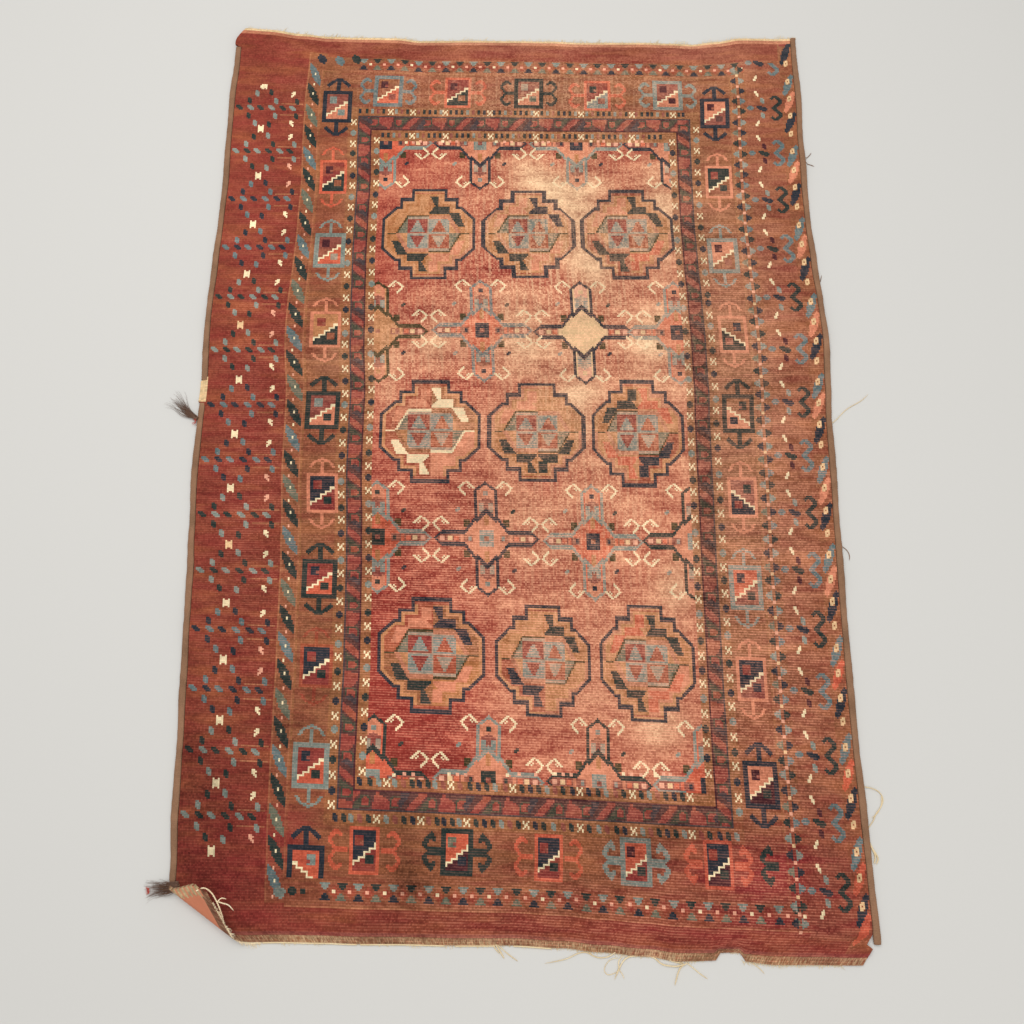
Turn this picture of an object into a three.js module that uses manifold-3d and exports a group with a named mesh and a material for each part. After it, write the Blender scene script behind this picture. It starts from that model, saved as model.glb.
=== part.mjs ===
// A hand-knotted pile rug lying flat, with one corner folded back over the pile.
// Millimetres, +Z up. The origin is on the underside, at the middle of the rug.
// +X runs across the rug to its right-hand side, +Y along the warps to its far end.
import * as THREE from "three";
import Module from "manifold-3d";
import { mergeVertices } from "three/addons/utils/BufferGeometryUtils.js";

const { clamp, degToRad, lerp, smoothstep } = THREE.MathUtils;
const wasm = await Module();
wasm.setup();

// The woven sheet, as if it had been woven true
const halfWidth = 553;
const halfLength = 850;
const pileThickness = 5; // ground weave and worn pile together
const flatweaveThickness = 2.4; // the plain-woven ends, which have no pile
const nearFlatweave = 18;
const farFlatweave = 7;
const pileStep = 6; // over which the pile rises from a plain-woven end
const coarseCell = 60;
const foldCells = 15; // cells each way in the folded corner
const touchGap = 0.3; // between pieces that lie against each other

// Overcast binding along the two long sides
const bindingWidth = 13;
const bindingHeight = 6;
const bindingWobble = 0.8;
const bindingEndGap = 1;
const insetReach = 40; // how far into the cloth a missing or worn edge draws its rows

// Frayed warps at the two ends
const backingWidth = 3;
const backingThickness = 1.6;
const frayPitch = 26;
const frayThickness = 1.3;
const yarnThickness = 1.6;
const yarnStep = 6;
const rootHeight = 1; // of a yarn's underside where it leaves the edge

// Long sides of the rug: x of the binding's outer side, at y along the rug
const sides = [
  { y: -870, left: -553, right: 553 },
  { y: -800, left: -554, right: 554 },
  { y: -740, left: -557, right: 553 },
  { y: -640, left: -562, right: 551 },
  { y: -540, left: -564, right: 549 },
  { y: -440, left: -567, right: 548 },
  { y: -340, left: -570, right: 549 },
  { y: -250, left: -572, right: 549 },
  { y: -180, left: -576, right: 551 },
  { y: -80, left: -580, right: 553 },
  { y: 20, left: -579, right: 554 },
  { y: 90, left: -577, right: 558 },
  { y: 180, left: -580, right: 561 },
  { y: 260, left: -580, right: 558 },
  { y: 340, left: -577, right: 553 },
  { y: 430, left: -574, right: 549 },
  { y: 520, left: -571, right: 548 },
  { y: 600, left: -573, right: 549 },
  { y: 700, left: -573, right: 552 },
  { y: 780, left: -569, right: 551 },
  { y: 870, left: -566, right: 552 },
];

// Ends of the rug: y of the cloth's edge, at x across the rug
const ends = [
  { x: -560, near: -837, far: 866 },
  { x: -500, near: -837, far: 863 },
  { x: -440, near: -836, far: 855 },
  { x: -380, near: -835, far: 848 },
  { x: -320, near: -836, far: 846 },
  { x: -250, near: -838, far: 845 },
  { x: -200, near: -838, far: 838 },
  { x: -100, near: -840, far: 839 },
  { x: -20, near: -840, far: 838 },
  { x: 60, near: -844, far: 837 },
  { x: 120, near: -850, far: 834 },
  { x: 190, near: -856, far: 834 },
  { x: 240, near: -863, far: 834 },
  { x: 296, near: -862, far: 832 },
  { x: 300, near: -851, far: 832 },
  { x: 334, near: -850, far: 830 },
  { x: 338, near: -863, far: 829 },
  { x: 390, near: -868, far: 834 },
  { x: 440, near: -868, far: 842 },
  { x: 510, near: -869, far: 842 },
  { x: 560, near: -868, far: 845 },
];
const endReach = 300; // how far into the rug the shape of an end is felt
const notch = { from: 296, stepIn: 300, stepOut: 334, to: 338 }; // a bite out of the near end

// Corners that are worn away, by this much along the side and along the end
const wornCorners = [
  { side: -1, end: -1, alongSide: 20, alongEnd: 17 },
  { side: 1, end: -1, alongSide: 40, alongEnd: 31 },
  { side: -1, end: 1, alongSide: 26, alongEnd: 16 },
];

// Where the binding still holds; the left one is lost for a hand's width near the middle
const bindings = [
  { name: "selvedge_left_near", side: -1, from: -764, to: 60 },
  { name: "selvedge_left_far", side: -1, from: 103, to: 808 },
  { name: "selvedge_right", side: 1, from: -825, to: 850 },
];

// The near left corner folds up and over: the bend starts on a line this far from the corner
const fold = { alongEnd: 135, alongSide: 92, angle: degToRad(140), radius: 10 };

// Low swellings where the cloth stands off the floor
const ripples = [
  { x: -585, y: 225, halfX: 190, halfY: 75, height: 4 },
  { x: 590, y: 215, halfX: 170, halfY: 95, height: 5 },
  { x: 585, y: 545, halfX: 110, halfY: 55, height: 4 },
  { x: 575, y: -250, halfX: 120, halfY: 60, height: 3 },
  { x: -560, y: 850, halfX: 130, halfY: 90, height: 5 },
  { x: 430, y: 850, halfX: 120, halfY: 45, height: 3 },
  { x: -580, y: -330, halfX: 120, halfY: 80, height: 3 },
];

// Loose yarns: root, heading and turn in degrees, wave in degrees either way, waves in the length
const looseYarns = [
  { node: "fringe_near", x: -44, y: -841, heading: -42, length: 34, turn: 6, wave: 0, waves: 1 },
  { node: "fringe_near", x: -49, y: -841, heading: -68, length: 22, turn: 14, wave: 0, waves: 1 },
  { node: "fringe_near", x: 118, y: -852, heading: 196, length: 104, turn: -2, wave: 24, waves: 1.3 },
  { node: "fringe_near", x: 138, y: -854, heading: 205, length: 58, turn: 230, wave: 0, waves: 1 },
  { node: "fringe_near", x: 164, y: -856, heading: 258, length: 32, turn: -18, wave: 8, waves: 1 },
  { node: "fringe_near", x: 181, y: -857, heading: -22, length: 50, turn: 26, wave: 12, waves: 1 },
  { node: "fringe_near", x: 243, y: -865, heading: 245, length: 30, turn: 24, wave: 0, waves: 1 },
  { node: "fringe_near", x: 254, y: -865, heading: -45, length: 36, turn: 8, wave: 6, waves: 1 },
  { node: "fringe_near_right", x: 352, y: -866, heading: -25, length: 24, turn: -30, wave: 0, waves: 1 },
  { node: "fringe_flap", x: -519, y: -839, heading: -62, length: 16, turn: 30, wave: 0, waves: 1 },
  { node: "fringe_flap", x: -492, y: -839, heading: -100, length: 18, turn: 70, wave: 0, waves: 1 },
  { node: "selvedge_right", x: 550, y: 22, heading: 36, length: 90, turn: 4, wave: 10, waves: 1.2 },
  { node: "selvedge_right", x: 547, y: 292, heading: 60, length: 26, turn: 20, wave: 0, waves: 1 },
  { node: "selvedge_right", x: 546, y: -205, heading: -20, length: 30, turn: -95, wave: 0, waves: 1 },
  { node: "selvedge_right", x: 546, y: -606, heading: 4, length: 74, turn: -150, wave: 0, waves: 1 },
  { node: "selvedge_right", x: 549, y: -690, heading: -52, length: 36, turn: -25, wave: 8, waves: 1 },
  { node: "selvedge_right", x: 545, y: 566, heading: 35, length: 20, turn: 25, wave: 0, waves: 1 },
  { node: "selvedge_right", x: 545, y: 556, heading: -12, length: 18, turn: -20, wave: 0, waves: 1 },
  { node: "selvedge_left_near", x: -573, y: 30, heading: 118, length: 42, turn: 20, wave: 0, waves: 1 },
  { node: "selvedge_left_near", x: -574, y: 24, heading: 132, length: 62, turn: 6, wave: 8, waves: 1 },
  { node: "selvedge_left_near", x: -574, y: 18, heading: 148, length: 46, turn: -6, wave: 0, waves: 1 },
  { node: "selvedge_left_near", x: -574, y: 12, heading: 166, length: 34, turn: -14, wave: 0, waves: 1 },
  { node: "selvedge_left_near", x: -551, y: -744, heading: 176, length: 30, turn: 14, wave: 0, waves: 1 },
  { node: "selvedge_left_near", x: -551, y: -750, heading: 186, length: 40, turn: 6, wave: 6, waves: 1 },
];

const colours = { cloth: 0x99463a, binding: 0x7c583c, warp: 0xdccba4 };

const fade = (share) => clamp(1 - share, 0, 1);

// A column of a table at a place, eased from each row to the next
function follow(table, place, column, at) {
  const next = table.findIndex((row) => row[place] > at);
  if (next < 0) return table.at(-1)[column];
  if (next === 0) return table[0][column];
  const [before, after] = [table[next - 1], table[next]];
  return lerp(before[column], after[column], smoothstep(at, before[place], after[place]));
}

const sideAt = (side, y) => follow(sides, "y", side < 0 ? "left" : "right", y);

// How far the cloth's edge is drawn in, for the binding or by wear
function insetAt(side, v) {
  const bound = bindings.some((b) => b.side === side && v > b.from - 1 && v < b.to + 1);
  const worn = wornCorners
    .filter((corner) => corner.side === side)
    .map((c) => c.alongEnd * fade((halfLength - c.end * v) / c.alongSide));
  return (bound ? bindingWidth + touchGap : 0) + worn.reduce((sum, loss) => sum + loss, 0);
}

function riseAt(x, y) {
  return ripples.reduce((sum, r) => {
    const away = ((x - r.x) / r.halfX) ** 2 + ((y - r.y) / r.halfY) ** 2;
    return sum + r.height * fade(away) ** 2;
  }, 0);
}

function thicknessAt(u, v) {
  const bare = u < 1 - halfWidth && insetAt(-1, v) < bindingWidth;
  if (bare) return flatweaveThickness;
  const fromFlatweave = Math.min(v + halfLength - nearFlatweave, halfLength - farFlatweave - v);
  return lerp(flatweaveThickness, pileThickness, smoothstep(fromFlatweave, -pileStep, 0));
}

// A point of the sheet on the floor, before the corner is folded
function spread(u, v, inset = 1) {
  const across = (u + halfWidth) / (2 * halfWidth);
  const drawnIn =
    insetAt(-1, v) * fade((halfWidth + u) / insetReach) - insetAt(1, v) * fade((halfWidth - u) / insetReach);
  const outline = (sideAt(-1, v) + halfWidth) * (1 - across) + (sideAt(1, v) - halfWidth) * across;
  const x = u + outline + inset * drawnIn;
  const near = (follow(ends, "x", "near", x) + halfLength) * fade((halfLength + v) / endReach) ** 2;
  const far = (follow(ends, "x", "far", x) - halfLength) * fade((halfLength - v) / endReach) ** 2;
  return new THREE.Vector2(x, v + near + far);
}

const corner = new THREE.Vector2(sideAt(-1, -halfLength), follow(ends, "x", "near", -halfWidth));
const foldStart = corner.clone().add(new THREE.Vector2(fold.alongEnd, 0));
const inward = new THREE.Vector2(fold.alongSide, fold.alongEnd).normalize();

// A point at a height over the floor, carried round the bend if it lies past the fold line
function bend(x, y, z) {
  const past = foldStart.clone().sub({ x, y }).dot(inward);
  if (past <= 0) return new THREE.Vector3(x, y, z);
  const turned = Math.min(past / fold.radius, fold.angle);
  const straight = Math.max(past - fold.radius * fold.angle, 0);
  const out = (fold.radius - z) * Math.sin(turned) + straight * Math.cos(fold.angle);
  const up = fold.radius * (1 - Math.cos(turned)) + z * Math.cos(turned) + straight * Math.sin(fold.angle);
  return new THREE.Vector3(x + (past - out) * inward.x, y + (past - out) * inward.y, up);
}

const lay = (x, y, z) => bend(x, y, z + riseAt(x, y));

// Values from the first stop to the last, with even steps no longer than a given one
function divide(stops, longest) {
  return stops.flatMap((stop, i) => {
    if (i === 0) return [stop];
    const parts = Math.ceil((stop - stops[i - 1]) / longest);
    return Array.from({ length: parts }, (_, k) => lerp(stops[i - 1], stop, (k + 1) / parts));
  });
}

function geometryOf(points, triangles) {
  const positions = new Float32Array(points.flatMap((p) => p.toArray()));
  return new THREE.BufferGeometry()
    .setAttribute("position", new THREE.BufferAttribute(positions, 3))
    .setIndex(triangles.flat());
}

// A closed sheet over a grid, its cells split along the direction of the fold
function sheet(columns, rows, under, over) {
  const wide = columns.length;
  const layer = wide * rows.length;
  const points = [under, over].flatMap((at) => rows.flatMap((v) => columns.map((u) => at(u, v))));
  const at = (i, j, side) => side * layer + j * wide + i;
  const triangles = [];
  const wall = (a, b) => triangles.push([a, b, b + layer], [a, b + layer, a + layer]);
  for (let j = 0; j < rows.length - 1; j++)
    for (let i = 0; i < wide - 1; i++) {
      const [a, b, c, d] = [at(i, j, 0), at(i + 1, j, 0), at(i + 1, j + 1, 0), at(i, j + 1, 0)];
      triangles.push([a, d, b], [b, d, c]);
      triangles.push([a + layer, b + layer, d + layer], [b + layer, c + layer, d + layer]);
    }
  for (let i = 0; i < wide - 1; i++) {
    wall(at(i, 0, 0), at(i + 1, 0, 0));
    wall(at(i + 1, rows.length - 1, 0), at(i, rows.length - 1, 0));
  }
  for (let j = 0; j < rows.length - 1; j++) {
    wall(at(wide - 1, j, 0), at(wide - 1, j + 1, 0));
    wall(at(0, j + 1, 0), at(0, j, 0));
  }
  return geometryOf(points, triangles);
}

// A closed solid through sections with the same number of corners, each anticlockwise along the path
function loft(sections) {
  const round = sections[0].length;
  const last = (sections.length - 1) * round;
  const triangles = [];
  for (let s = 0; s < sections.length - 1; s++)
    for (let k = 0; k < round; k++) {
      const [a, b] = [s * round + k, s * round + ((k + 1) % round)];
      triangles.push([a, b, b + round], [a, b + round, a + round]);
    }
  for (let k = 1; k < round - 1; k++) triangles.push([0, k + 1, k], [last, last + k, last + k + 1]);
  return geometryOf(sections.flat(), triangles);
}

function solidOf(geometry) {
  const merged = mergeVertices(geometry);
  const made = new wasm.Manifold(
    new wasm.Mesh({
      numProp: 3,
      vertProperties: merged.attributes.position.array,
      triVerts: new Uint32Array(merged.index.array),
    }),
  );
  return made;
}

function joined(geometries) {
  const whole = geometries.map(solidOf).reduce((sum, next) => sum.add(next));
  const mesh = whole.getMesh();
  return new THREE.BufferGeometry()
    .setAttribute("position", new THREE.BufferAttribute(mesh.vertProperties, 3))
    .setIndex(new THREE.BufferAttribute(mesh.triVerts, 1));
}

// Columns and rows of the sheet, fine in the folded corner and closer at each change of the edge
const foldColumns = Array.from({ length: foldCells }, (_, i) => (i * fold.alongEnd) / foldCells - halfWidth);
const foldRows = Array.from({ length: foldCells }, (_, j) => (j * fold.alongSide) / foldCells - halfLength);
const columns = [
  ...foldColumns,
  ...divide(
    [fold.alongEnd - halfWidth, notch.from, notch.stepIn, notch.stepOut, notch.to, halfWidth],
    coarseCell,
  ),
];
const rows = [
  ...foldRows,
  ...divide(
    [
      fold.alongSide - halfLength,
      ...[60, 66, 97, 103, 808, 814, 824],
      halfLength - farFlatweave - pileStep,
      halfLength - farFlatweave,
      halfLength,
    ],
    coarseCell,
  ),
];

function rugBody() {
  const at = (height) => (u, v) => {
    const p = spread(u, v);
    return lay(p.x, p.y, height(u, v));
  };
  return sheet(
    columns,
    rows,
    at(() => 0),
    at(thicknessAt),
  );
}

// Corners of the binding's section, as shares of its width from the cloth and of its height
const bindingSection = [
  { out: 0, up: 0.2 },
  { out: 0.1, up: 0 },
  { out: 0.88, up: 0 },
  { out: 1, up: 0.22 },
  { out: 1, up: 0.62 },
  { out: 0.8, up: 1 },
  { out: 0.22, up: 1 },
  { out: 0, up: 0.7 },
];

function binding({ name, side, from, to }) {
  const held = rows.filter((v) => v > from - 1 && v < to + 1);
  const sections = held.map((v, i) => {
    const edge = spread(side * halfWidth, v, 0);
    const endPull = (i === 0 ? bindingEndGap : 0) - (i === held.length - 1 ? bindingEndGap : 0);
    const inner = edge.x - side * bindingWidth;
    const width = bindingWidth - bindingWobble * (1 + Math.sin(v / 31));
    const section = bindingSection.map(({ out, up }) =>
      lay(inner + side * out * width, edge.y + endPull, up * bindingHeight),
    );
    return side < 0 ? section : section.reverse();
  });
  return joined([loft(sections), ...yarnsOn(name)]);
}

// A square yarn along a path on the floor, starting in the piece that holds it
function yarn({ x, y, heading, length, turn, wave, waves }, thickness = yarnThickness, drop = 3) {
  const steps = Math.ceil(length / yarnStep) + 1;
  const sections = [];
  for (let i = 0, at = { x, y }; i <= steps; i++) {
    const share = i / steps;
    const angle = degToRad(heading + turn * share + wave * Math.sin(2 * Math.PI * waves * share));
    const taper = (thickness / 2) * (share > 0.8 ? 1.6 - share * 0.9 : 1);
    const low = (rootHeight + riseAt(at.x, at.y)) * fade(drop * share);
    const [aside, over] = [-Math.sin(angle) * taper, Math.cos(angle) * taper];
    sections.push([
      bend(at.x - aside, at.y - over, low),
      bend(at.x + aside, at.y + over, low),
      bend(at.x + aside, at.y + over, low + 2 * taper),
      bend(at.x - aside, at.y - over, low + 2 * taper),
    ]);
    const stride = length / steps;
    at = { x: at.x + Math.cos(angle) * stride, y: at.y + Math.sin(angle) * stride };
  }
  return loft(sections);
}

// The edge of the cloth at an end, straight from one column of the sheet to the next
function endEdge(end, u) {
  const next = Math.max(
    columns.findIndex((column) => column > u),
    1,
  );
  const [before, after] = [columns[next - 1], columns[next]];
  const share = (u - before) / (after - before);
  return spread(before, end * halfLength).lerp(spread(after, end * halfLength), share);
}

const yarnsOn = (name) => looseYarns.filter(({ node }) => node === name).map((row) => yarn(row));

// A narrow strip of bare warps against one end of the cloth, with short frayed tips
function fringe(name, end, from, to) {
  const held = columns.filter((u) => u > from - 1 && u < to + 1);
  const sections = held.map((u, i) => {
    const edge = spread(u, end * halfLength);
    const endPull = (i === 0 ? bindingEndGap : 0) - (i === held.length - 1 ? bindingEndGap : 0);
    const [inner, outer] = [edge.y + end * touchGap, edge.y + end * (touchGap + backingWidth)];
    const section = [
      lay(edge.x + endPull, inner, 0),
      lay(edge.x + endPull, outer, 0),
      lay(edge.x + endPull, outer, backingThickness),
      lay(edge.x + endPull, inner, backingThickness),
    ];
    return end > 0 ? section : section.reverse();
  });
  const frays = [];
  const first = from + frayPitch / 2;
  for (let u = first, k = 0; u < to - frayPitch / 3; u += frayPitch * (0.8 + 0.4 * Math.sin(7 * k) ** 2), k++) {
    const edge = endEdge(end, u);
    const slant = 28 * Math.sin(5 * k + 1);
    const length = backingWidth / 2 + 3 + 3 * Math.sin(3 * k) ** 2;
    const root = edge.y + end * (touchGap + backingWidth / 2);
    const row = { x: edge.x, y: root, heading: 90 * end + slant, length, turn: 0, wave: 0, waves: 1 };
    frays.push(yarn(row, frayThickness, 1));
  }
  return joined([loft(sections), ...frays, ...yarnsOn(name)]);
}

function piece(name, geometry, color, roughness) {
  const material = new THREE.MeshStandardMaterial({ color, roughness, metalness: 0 });
  const mesh = new THREE.Mesh(geometry, material);
  mesh.name = name;
  return mesh;
}

const rug = new THREE.Group();
rug.add(piece("rug_body", rugBody(), colours.cloth, 0.95));
for (const row of bindings) rug.add(piece(row.name, binding(row), colours.binding, 0.9));

const flapStart = columns[2];
const flapEnd = fold.alongEnd - halfWidth;
const nearRightEnd = columns.at(-2);
const fringes = [
  { name: "fringe_far", end: 1, from: -halfWidth, to: halfWidth },
  { name: "fringe_flap", end: -1, from: flapStart, to: flapEnd },
  { name: "fringe_near", end: -1, from: flapEnd, to: notch.from },
  { name: "fringe_near_right", end: -1, from: notch.to, to: nearRightEnd },
];
for (const { name, end, from, to } of fringes)
  rug.add(piece(name, fringe(name, end, from, to), colours.warp, 0.9));

export default rug;
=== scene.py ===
from math import ceil, cos, pi, radians, sin

import bmesh
import bpy
import numpy as np
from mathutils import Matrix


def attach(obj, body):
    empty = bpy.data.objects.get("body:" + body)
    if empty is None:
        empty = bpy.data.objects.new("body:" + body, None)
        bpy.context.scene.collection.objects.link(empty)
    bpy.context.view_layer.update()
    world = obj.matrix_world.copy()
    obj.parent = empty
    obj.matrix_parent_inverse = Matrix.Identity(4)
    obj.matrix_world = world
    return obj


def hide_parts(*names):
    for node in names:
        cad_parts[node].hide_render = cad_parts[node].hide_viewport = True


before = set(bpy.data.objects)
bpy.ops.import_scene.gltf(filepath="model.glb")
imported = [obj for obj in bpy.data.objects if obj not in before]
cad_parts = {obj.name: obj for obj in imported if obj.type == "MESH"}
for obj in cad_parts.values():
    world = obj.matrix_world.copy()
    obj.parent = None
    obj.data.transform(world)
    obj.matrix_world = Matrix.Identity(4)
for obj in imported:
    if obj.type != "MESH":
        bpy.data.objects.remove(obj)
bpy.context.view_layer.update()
mm = 0.001  # sizes below are in millimetres, as the rug was measured, and the meshes are in metres

# Camera and studio
camera = {"place": (-0.017, -0.641, 1.710), "tilt": 16.25, "lens": 36.07, "sensor": 36.0}
studio = {
    "floorSize": 8.0,
    "floorDrop": 0.0003,
    "floorColour": (206, 204, 199),
    "keyPlace": (-0.5, 0.9, 3.0),
    "keySize": 2.6,
    "keyPower": 58,
    "fillPlace": (0.9, -1.9, 2.4),
    "fillSize": 2.0,
    "fillPower": 16,
    "skyLight": 0.62,
}


def linear(colour):
    values = np.array(colour, float) / 255
    values = np.where(values <= 0.04045, values / 12.92, ((values + 0.055) / 1.055) ** 2.4)
    return (*values.tolist(), 1.0)


def operator(operation, turned=False):  # one sign of a sum, as a Math node
    def apply(*values):
        values = dict(enumerate(reversed(values) if turned else values))
        wire = values[1] if turned else values[0]
        return wire.finish.node("Math", {"operation": operation}, values)

    return apply


class Wire:  # a socket that takes part in sums
    def __init__(self, finish, socket):
        self.finish = finish
        self.socket = socket

    __add__, __radd__ = operator("ADD"), operator("ADD", turned=True)
    __sub__, __rsub__ = operator("SUBTRACT"), operator("SUBTRACT", turned=True)
    __mul__, __rmul__ = operator("MULTIPLY"), operator("MULTIPLY", turned=True)
    __truediv__, __pow__ = operator("DIVIDE"), operator("POWER")
    __gt__, __lt__ = operator("GREATER_THAN"), operator("LESS_THAN")
    __abs__, floor, part = operator("ABSOLUTE"), operator("FLOOR"), operator("FRACT")

    def within(self, low, high):  # 0 below low, 1 above high
        inputs = {"Value": self, "From Min": low, "From Max": high}
        return self.finish.node("MapRange", {"clamp": True}, inputs)


class Finish:  # one material, and the one way its nodes are made
    def __init__(self, name):
        self.material = bpy.data.materials.new(name)
        self.material.use_nodes = True
        self.tree = self.material.node_tree
        self.tree.nodes.clear()

    def node(self, kind, settings=None, inputs=None, output=0):
        made = self.tree.nodes.new("ShaderNode" + kind)
        for key, value in (settings or {}).items():
            if key == "stops":
                self.setStops(made.color_ramp, value)
            elif key == "steps":
                made.color_ramp.interpolation = value
            else:
                setattr(made, key, value)
        for key, value in (inputs or {}).items():
            if isinstance(value, Wire):
                self.tree.links.new(value.socket, made.inputs[key])
            else:
                made.inputs[key].default_value = value
        return Wire(self, made.outputs[output]) if made.outputs else made

    def setStops(self, ramp, stops):
        while len(ramp.elements) < len(stops):
            ramp.elements.new(1.0)
        for element, (place, colour) in zip(ramp.elements, stops):
            element.position = place
            element.color = linear(colour)

    def blend(self, factor, under, over, mode="MIX"):
        settings = {"data_type": "RGBA", "blend_type": mode, "clamp_factor": True}
        return self.node("Mix", settings, {0: factor, 6: under, 7: over}, 2)

    def scaled(self, vector, scale):
        return self.node("VectorMath", {"operation": "MULTIPLY"}, {0: vector, 1: scale})

    def noise(self, vector, scale, detail=2.0):
        return self.node("TexNoise", {}, {"Vector": vector, "Scale": scale, "Detail": detail})

    def attribute(self, name, output=2):
        return self.node("Attribute", {"attribute_name": name}, {}, output)

    def finished(self, surface):
        self.node("OutputMaterial", {}, {"Surface": surface})
        return self.material


def addStudio():
    data = bpy.data.cameras.new("camera")
    data.lens = camera["lens"]
    data.sensor_width = camera["sensor"]
    made = bpy.data.objects.new("camera", data)
    made.location = camera["place"]
    made.rotation_euler = (radians(camera["tilt"]), 0, 0)
    bpy.context.scene.collection.objects.link(made)
    bpy.context.scene.camera = made
    bpy.context.scene.view_settings.view_transform = "Standard"
    for part in ("key", "fill"):
        light = bpy.data.lights.new(part, "AREA")
        light.size = studio[part + "Size"]
        light.energy = studio[part + "Power"]
        lamp = bpy.data.objects.new(part, light)
        lamp.location = studio[part + "Place"]
        lamp.rotation_euler = (-lamp.location).to_track_quat("-Z", "Y").to_euler()
        bpy.context.scene.collection.objects.link(lamp)
    world = bpy.data.worlds.new("sky")
    world.use_nodes = True
    sky = world.node_tree.nodes["Background"]
    sky.inputs["Color"].default_value = (1, 1, 1, 1)
    sky.inputs["Strength"].default_value = studio["skyLight"]
    bpy.context.scene.world = world
    bm = bmesh.new()
    bmesh.ops.create_grid(bm, x_segments=1, y_segments=1, size=studio["floorSize"] / 2)
    bmesh.ops.translate(bm, vec=(0, 0, -studio["floorDrop"]), verts=bm.verts)
    mesh = bpy.data.meshes.new("floor")
    bm.to_mesh(mesh)
    bm.free()
    floor = bpy.data.objects.new("floor", mesh)
    bpy.context.scene.collection.objects.link(floor)
    paint = Finish("floor")
    speckle = paint.noise(paint.node("TexCoord", {}, {}, 3), 220.0)
    ground = linear(studio["floorColour"])
    colour = paint.blend(speckle * 0.08, ground, linear((190, 188, 184)))
    surface = paint.node("BsdfPrincipled", {}, {"Base Color": colour, "Roughness": 0.85})
    mesh.materials.append(paint.finished(surface))


addStudio()
print("camera, floor and light are in place")

# The sheet as woven, and how it lies
sheetSize = {
    "halfWidth": 553,
    "halfPile": 540,  # the knots, without what the bindings cover
    "halfLength": 850,
    "pile": 5.0,
    "plainWeave": 2.4,
    "nearPlain": 16,
    "farPlain": 10,
    "pileStep": 5,
    "bindingWidth": 13,
    "bindingHeight": 6,
    "endReach": 300,
    "biteReach": 40,
    "relief": 0.5,
}
sides = {
    "y": (-870, -800, -740, -640, -540, -440, -340, -250, -180, -80, 20)
    + (90, 180, 260, 340, 430, 520, 600, 700, 780, 870),
    "left": (-553, -554, -557, -562, -564, -567, -570, -572, -576, -580, -579)
    + (-577, -580, -580, -577, -574, -571, -573, -573, -569, -566),
    "right": (553, 554, 553, 551, 549, 548, 549, 549, 551, 553, 554)
    + (558, 561, 558, 553, 549, 548, 549, 552, 551, 552),
}
ends = {
    "x": (-560, -500, -440, -380, -320, -250, -200, -100, -20, 60, 120)
    + (190, 240, 296, 300, 334, 338, 390, 440, 510, 560),
    "near": (-837, -837, -836, -835, -836, -838, -838, -840, -840, -844, -850)
    + (-856, -863, -862, -851, -850, -863, -868, -868, -869, -868),
    "nearWeave": (-837, -837, -836, -835, -836, -838, -838, -840, -840, -844, -850)
    + (-856, -861, -863, -863, -864, -864, -866, -867, -869, -868),
    "far": (866, 863, 855, 848, 846, 845, 838, 839, 838, 837, 834)
    + (834, 834, 832, 832, 830, 829, 834, 842, 842, 845),
}
wornCorners = (
    {"side": -1, "end": -1, "alongSide": 20, "alongEnd": 17},
    {"side": 1, "end": -1, "alongSide": 40, "alongEnd": 31},
    {"side": -1, "end": 1, "alongSide": 26, "alongEnd": 16},
)
bindings = (
    {"name": "selvedge_left_near", "side": -1, "from": -764, "to": 60},
    {"name": "selvedge_left_far", "side": -1, "from": 103, "to": 808},
    {"name": "selvedge_right", "side": 1, "from": -825, "to": 850},
)
bareStretch = {"from": 58, "to": 105}  # of the left side, where the binding is lost
fold = {"alongEnd": 135, "alongSide": 92, "angle": radians(140), "radius": 10}
ripples = (
    {"x": -585, "y": 225, "halfX": 190, "halfY": 75, "height": 4},
    {"x": 590, "y": 215, "halfX": 170, "halfY": 95, "height": 5},
    {"x": 585, "y": 545, "halfX": 110, "halfY": 55, "height": 4},
    {"x": 575, "y": -250, "halfX": 120, "halfY": 60, "height": 3},
    {"x": -560, "y": 850, "halfX": 130, "halfY": 90, "height": 5},
    {"x": 430, "y": 850, "halfX": 120, "halfY": 45, "height": 3},
    {"x": -580, "y": -330, "halfX": 120, "halfY": 80, "height": 3},
)
# How far the warps wander sideways down the rug, at five places across it
drift = {
    "y": (-850, -600, -400, -190, 5, 200, 400, 700),
    "leaf": (3, 6, 9, 10, 6, -4, 2, 0),
    "border": (5, 9, 14, 15, 12, 7, 4, 0),
    "left": (8, 18, 22, 19, 14, 6, 0, 0),
    "middle": (8, 17, 21, 18, 14, 6, 0, 0),
    "right": (4, 7, 8, 8, 7, 3, 1, 1),
    "farBorder": (3, 5, 6, 6, 6, 1, 2, 4),
}
driftPlaces = {"edge": -540, "leaf": -408, "border": -344, "left": -161, "middle": 25}
driftPlaces |= {"right": 208, "farBorder": 384, "end": 540}
slopes = {  # how much each weft runs downhill from left to right
    "y": (-850, -775, -700, -600, -400, -190, 100, 400, 600, 700, 775, 850),
    "slope": (0, -0.026, -0.038, -0.045, -0.042, -0.016, -0.008, 0, -0.008, -0.012, -0.012, 0),
}


def ease(share):
    share = np.clip(share, 0, 1)
    return share * share * (3 - 2 * share)


def follow(table, place, column, at):
    places, values = np.array(table[place], float), np.array(table[column], float)
    at = np.clip(at, places[0], places[-1])
    after = np.clip(np.searchsorted(places, at, side="right"), 1, len(places) - 1)
    share = (at - places[after - 1]) / (places[after] - places[after - 1])
    return values[after - 1] + (values[after] - values[after - 1]) * ease(share)


def sideAt(side, v):
    return follow(sides, "y", "left" if side < 0 else "right", v)


def wornAt(side, v):
    loss = 0 * v
    for corner in wornCorners:
        if corner["side"] == side:
            away = (sheetSize["halfLength"] - corner["end"] * v) / corner["alongSide"]
            loss = loss + corner["alongEnd"] * np.clip(1 - away, 0, 1)
    return loss


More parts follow.
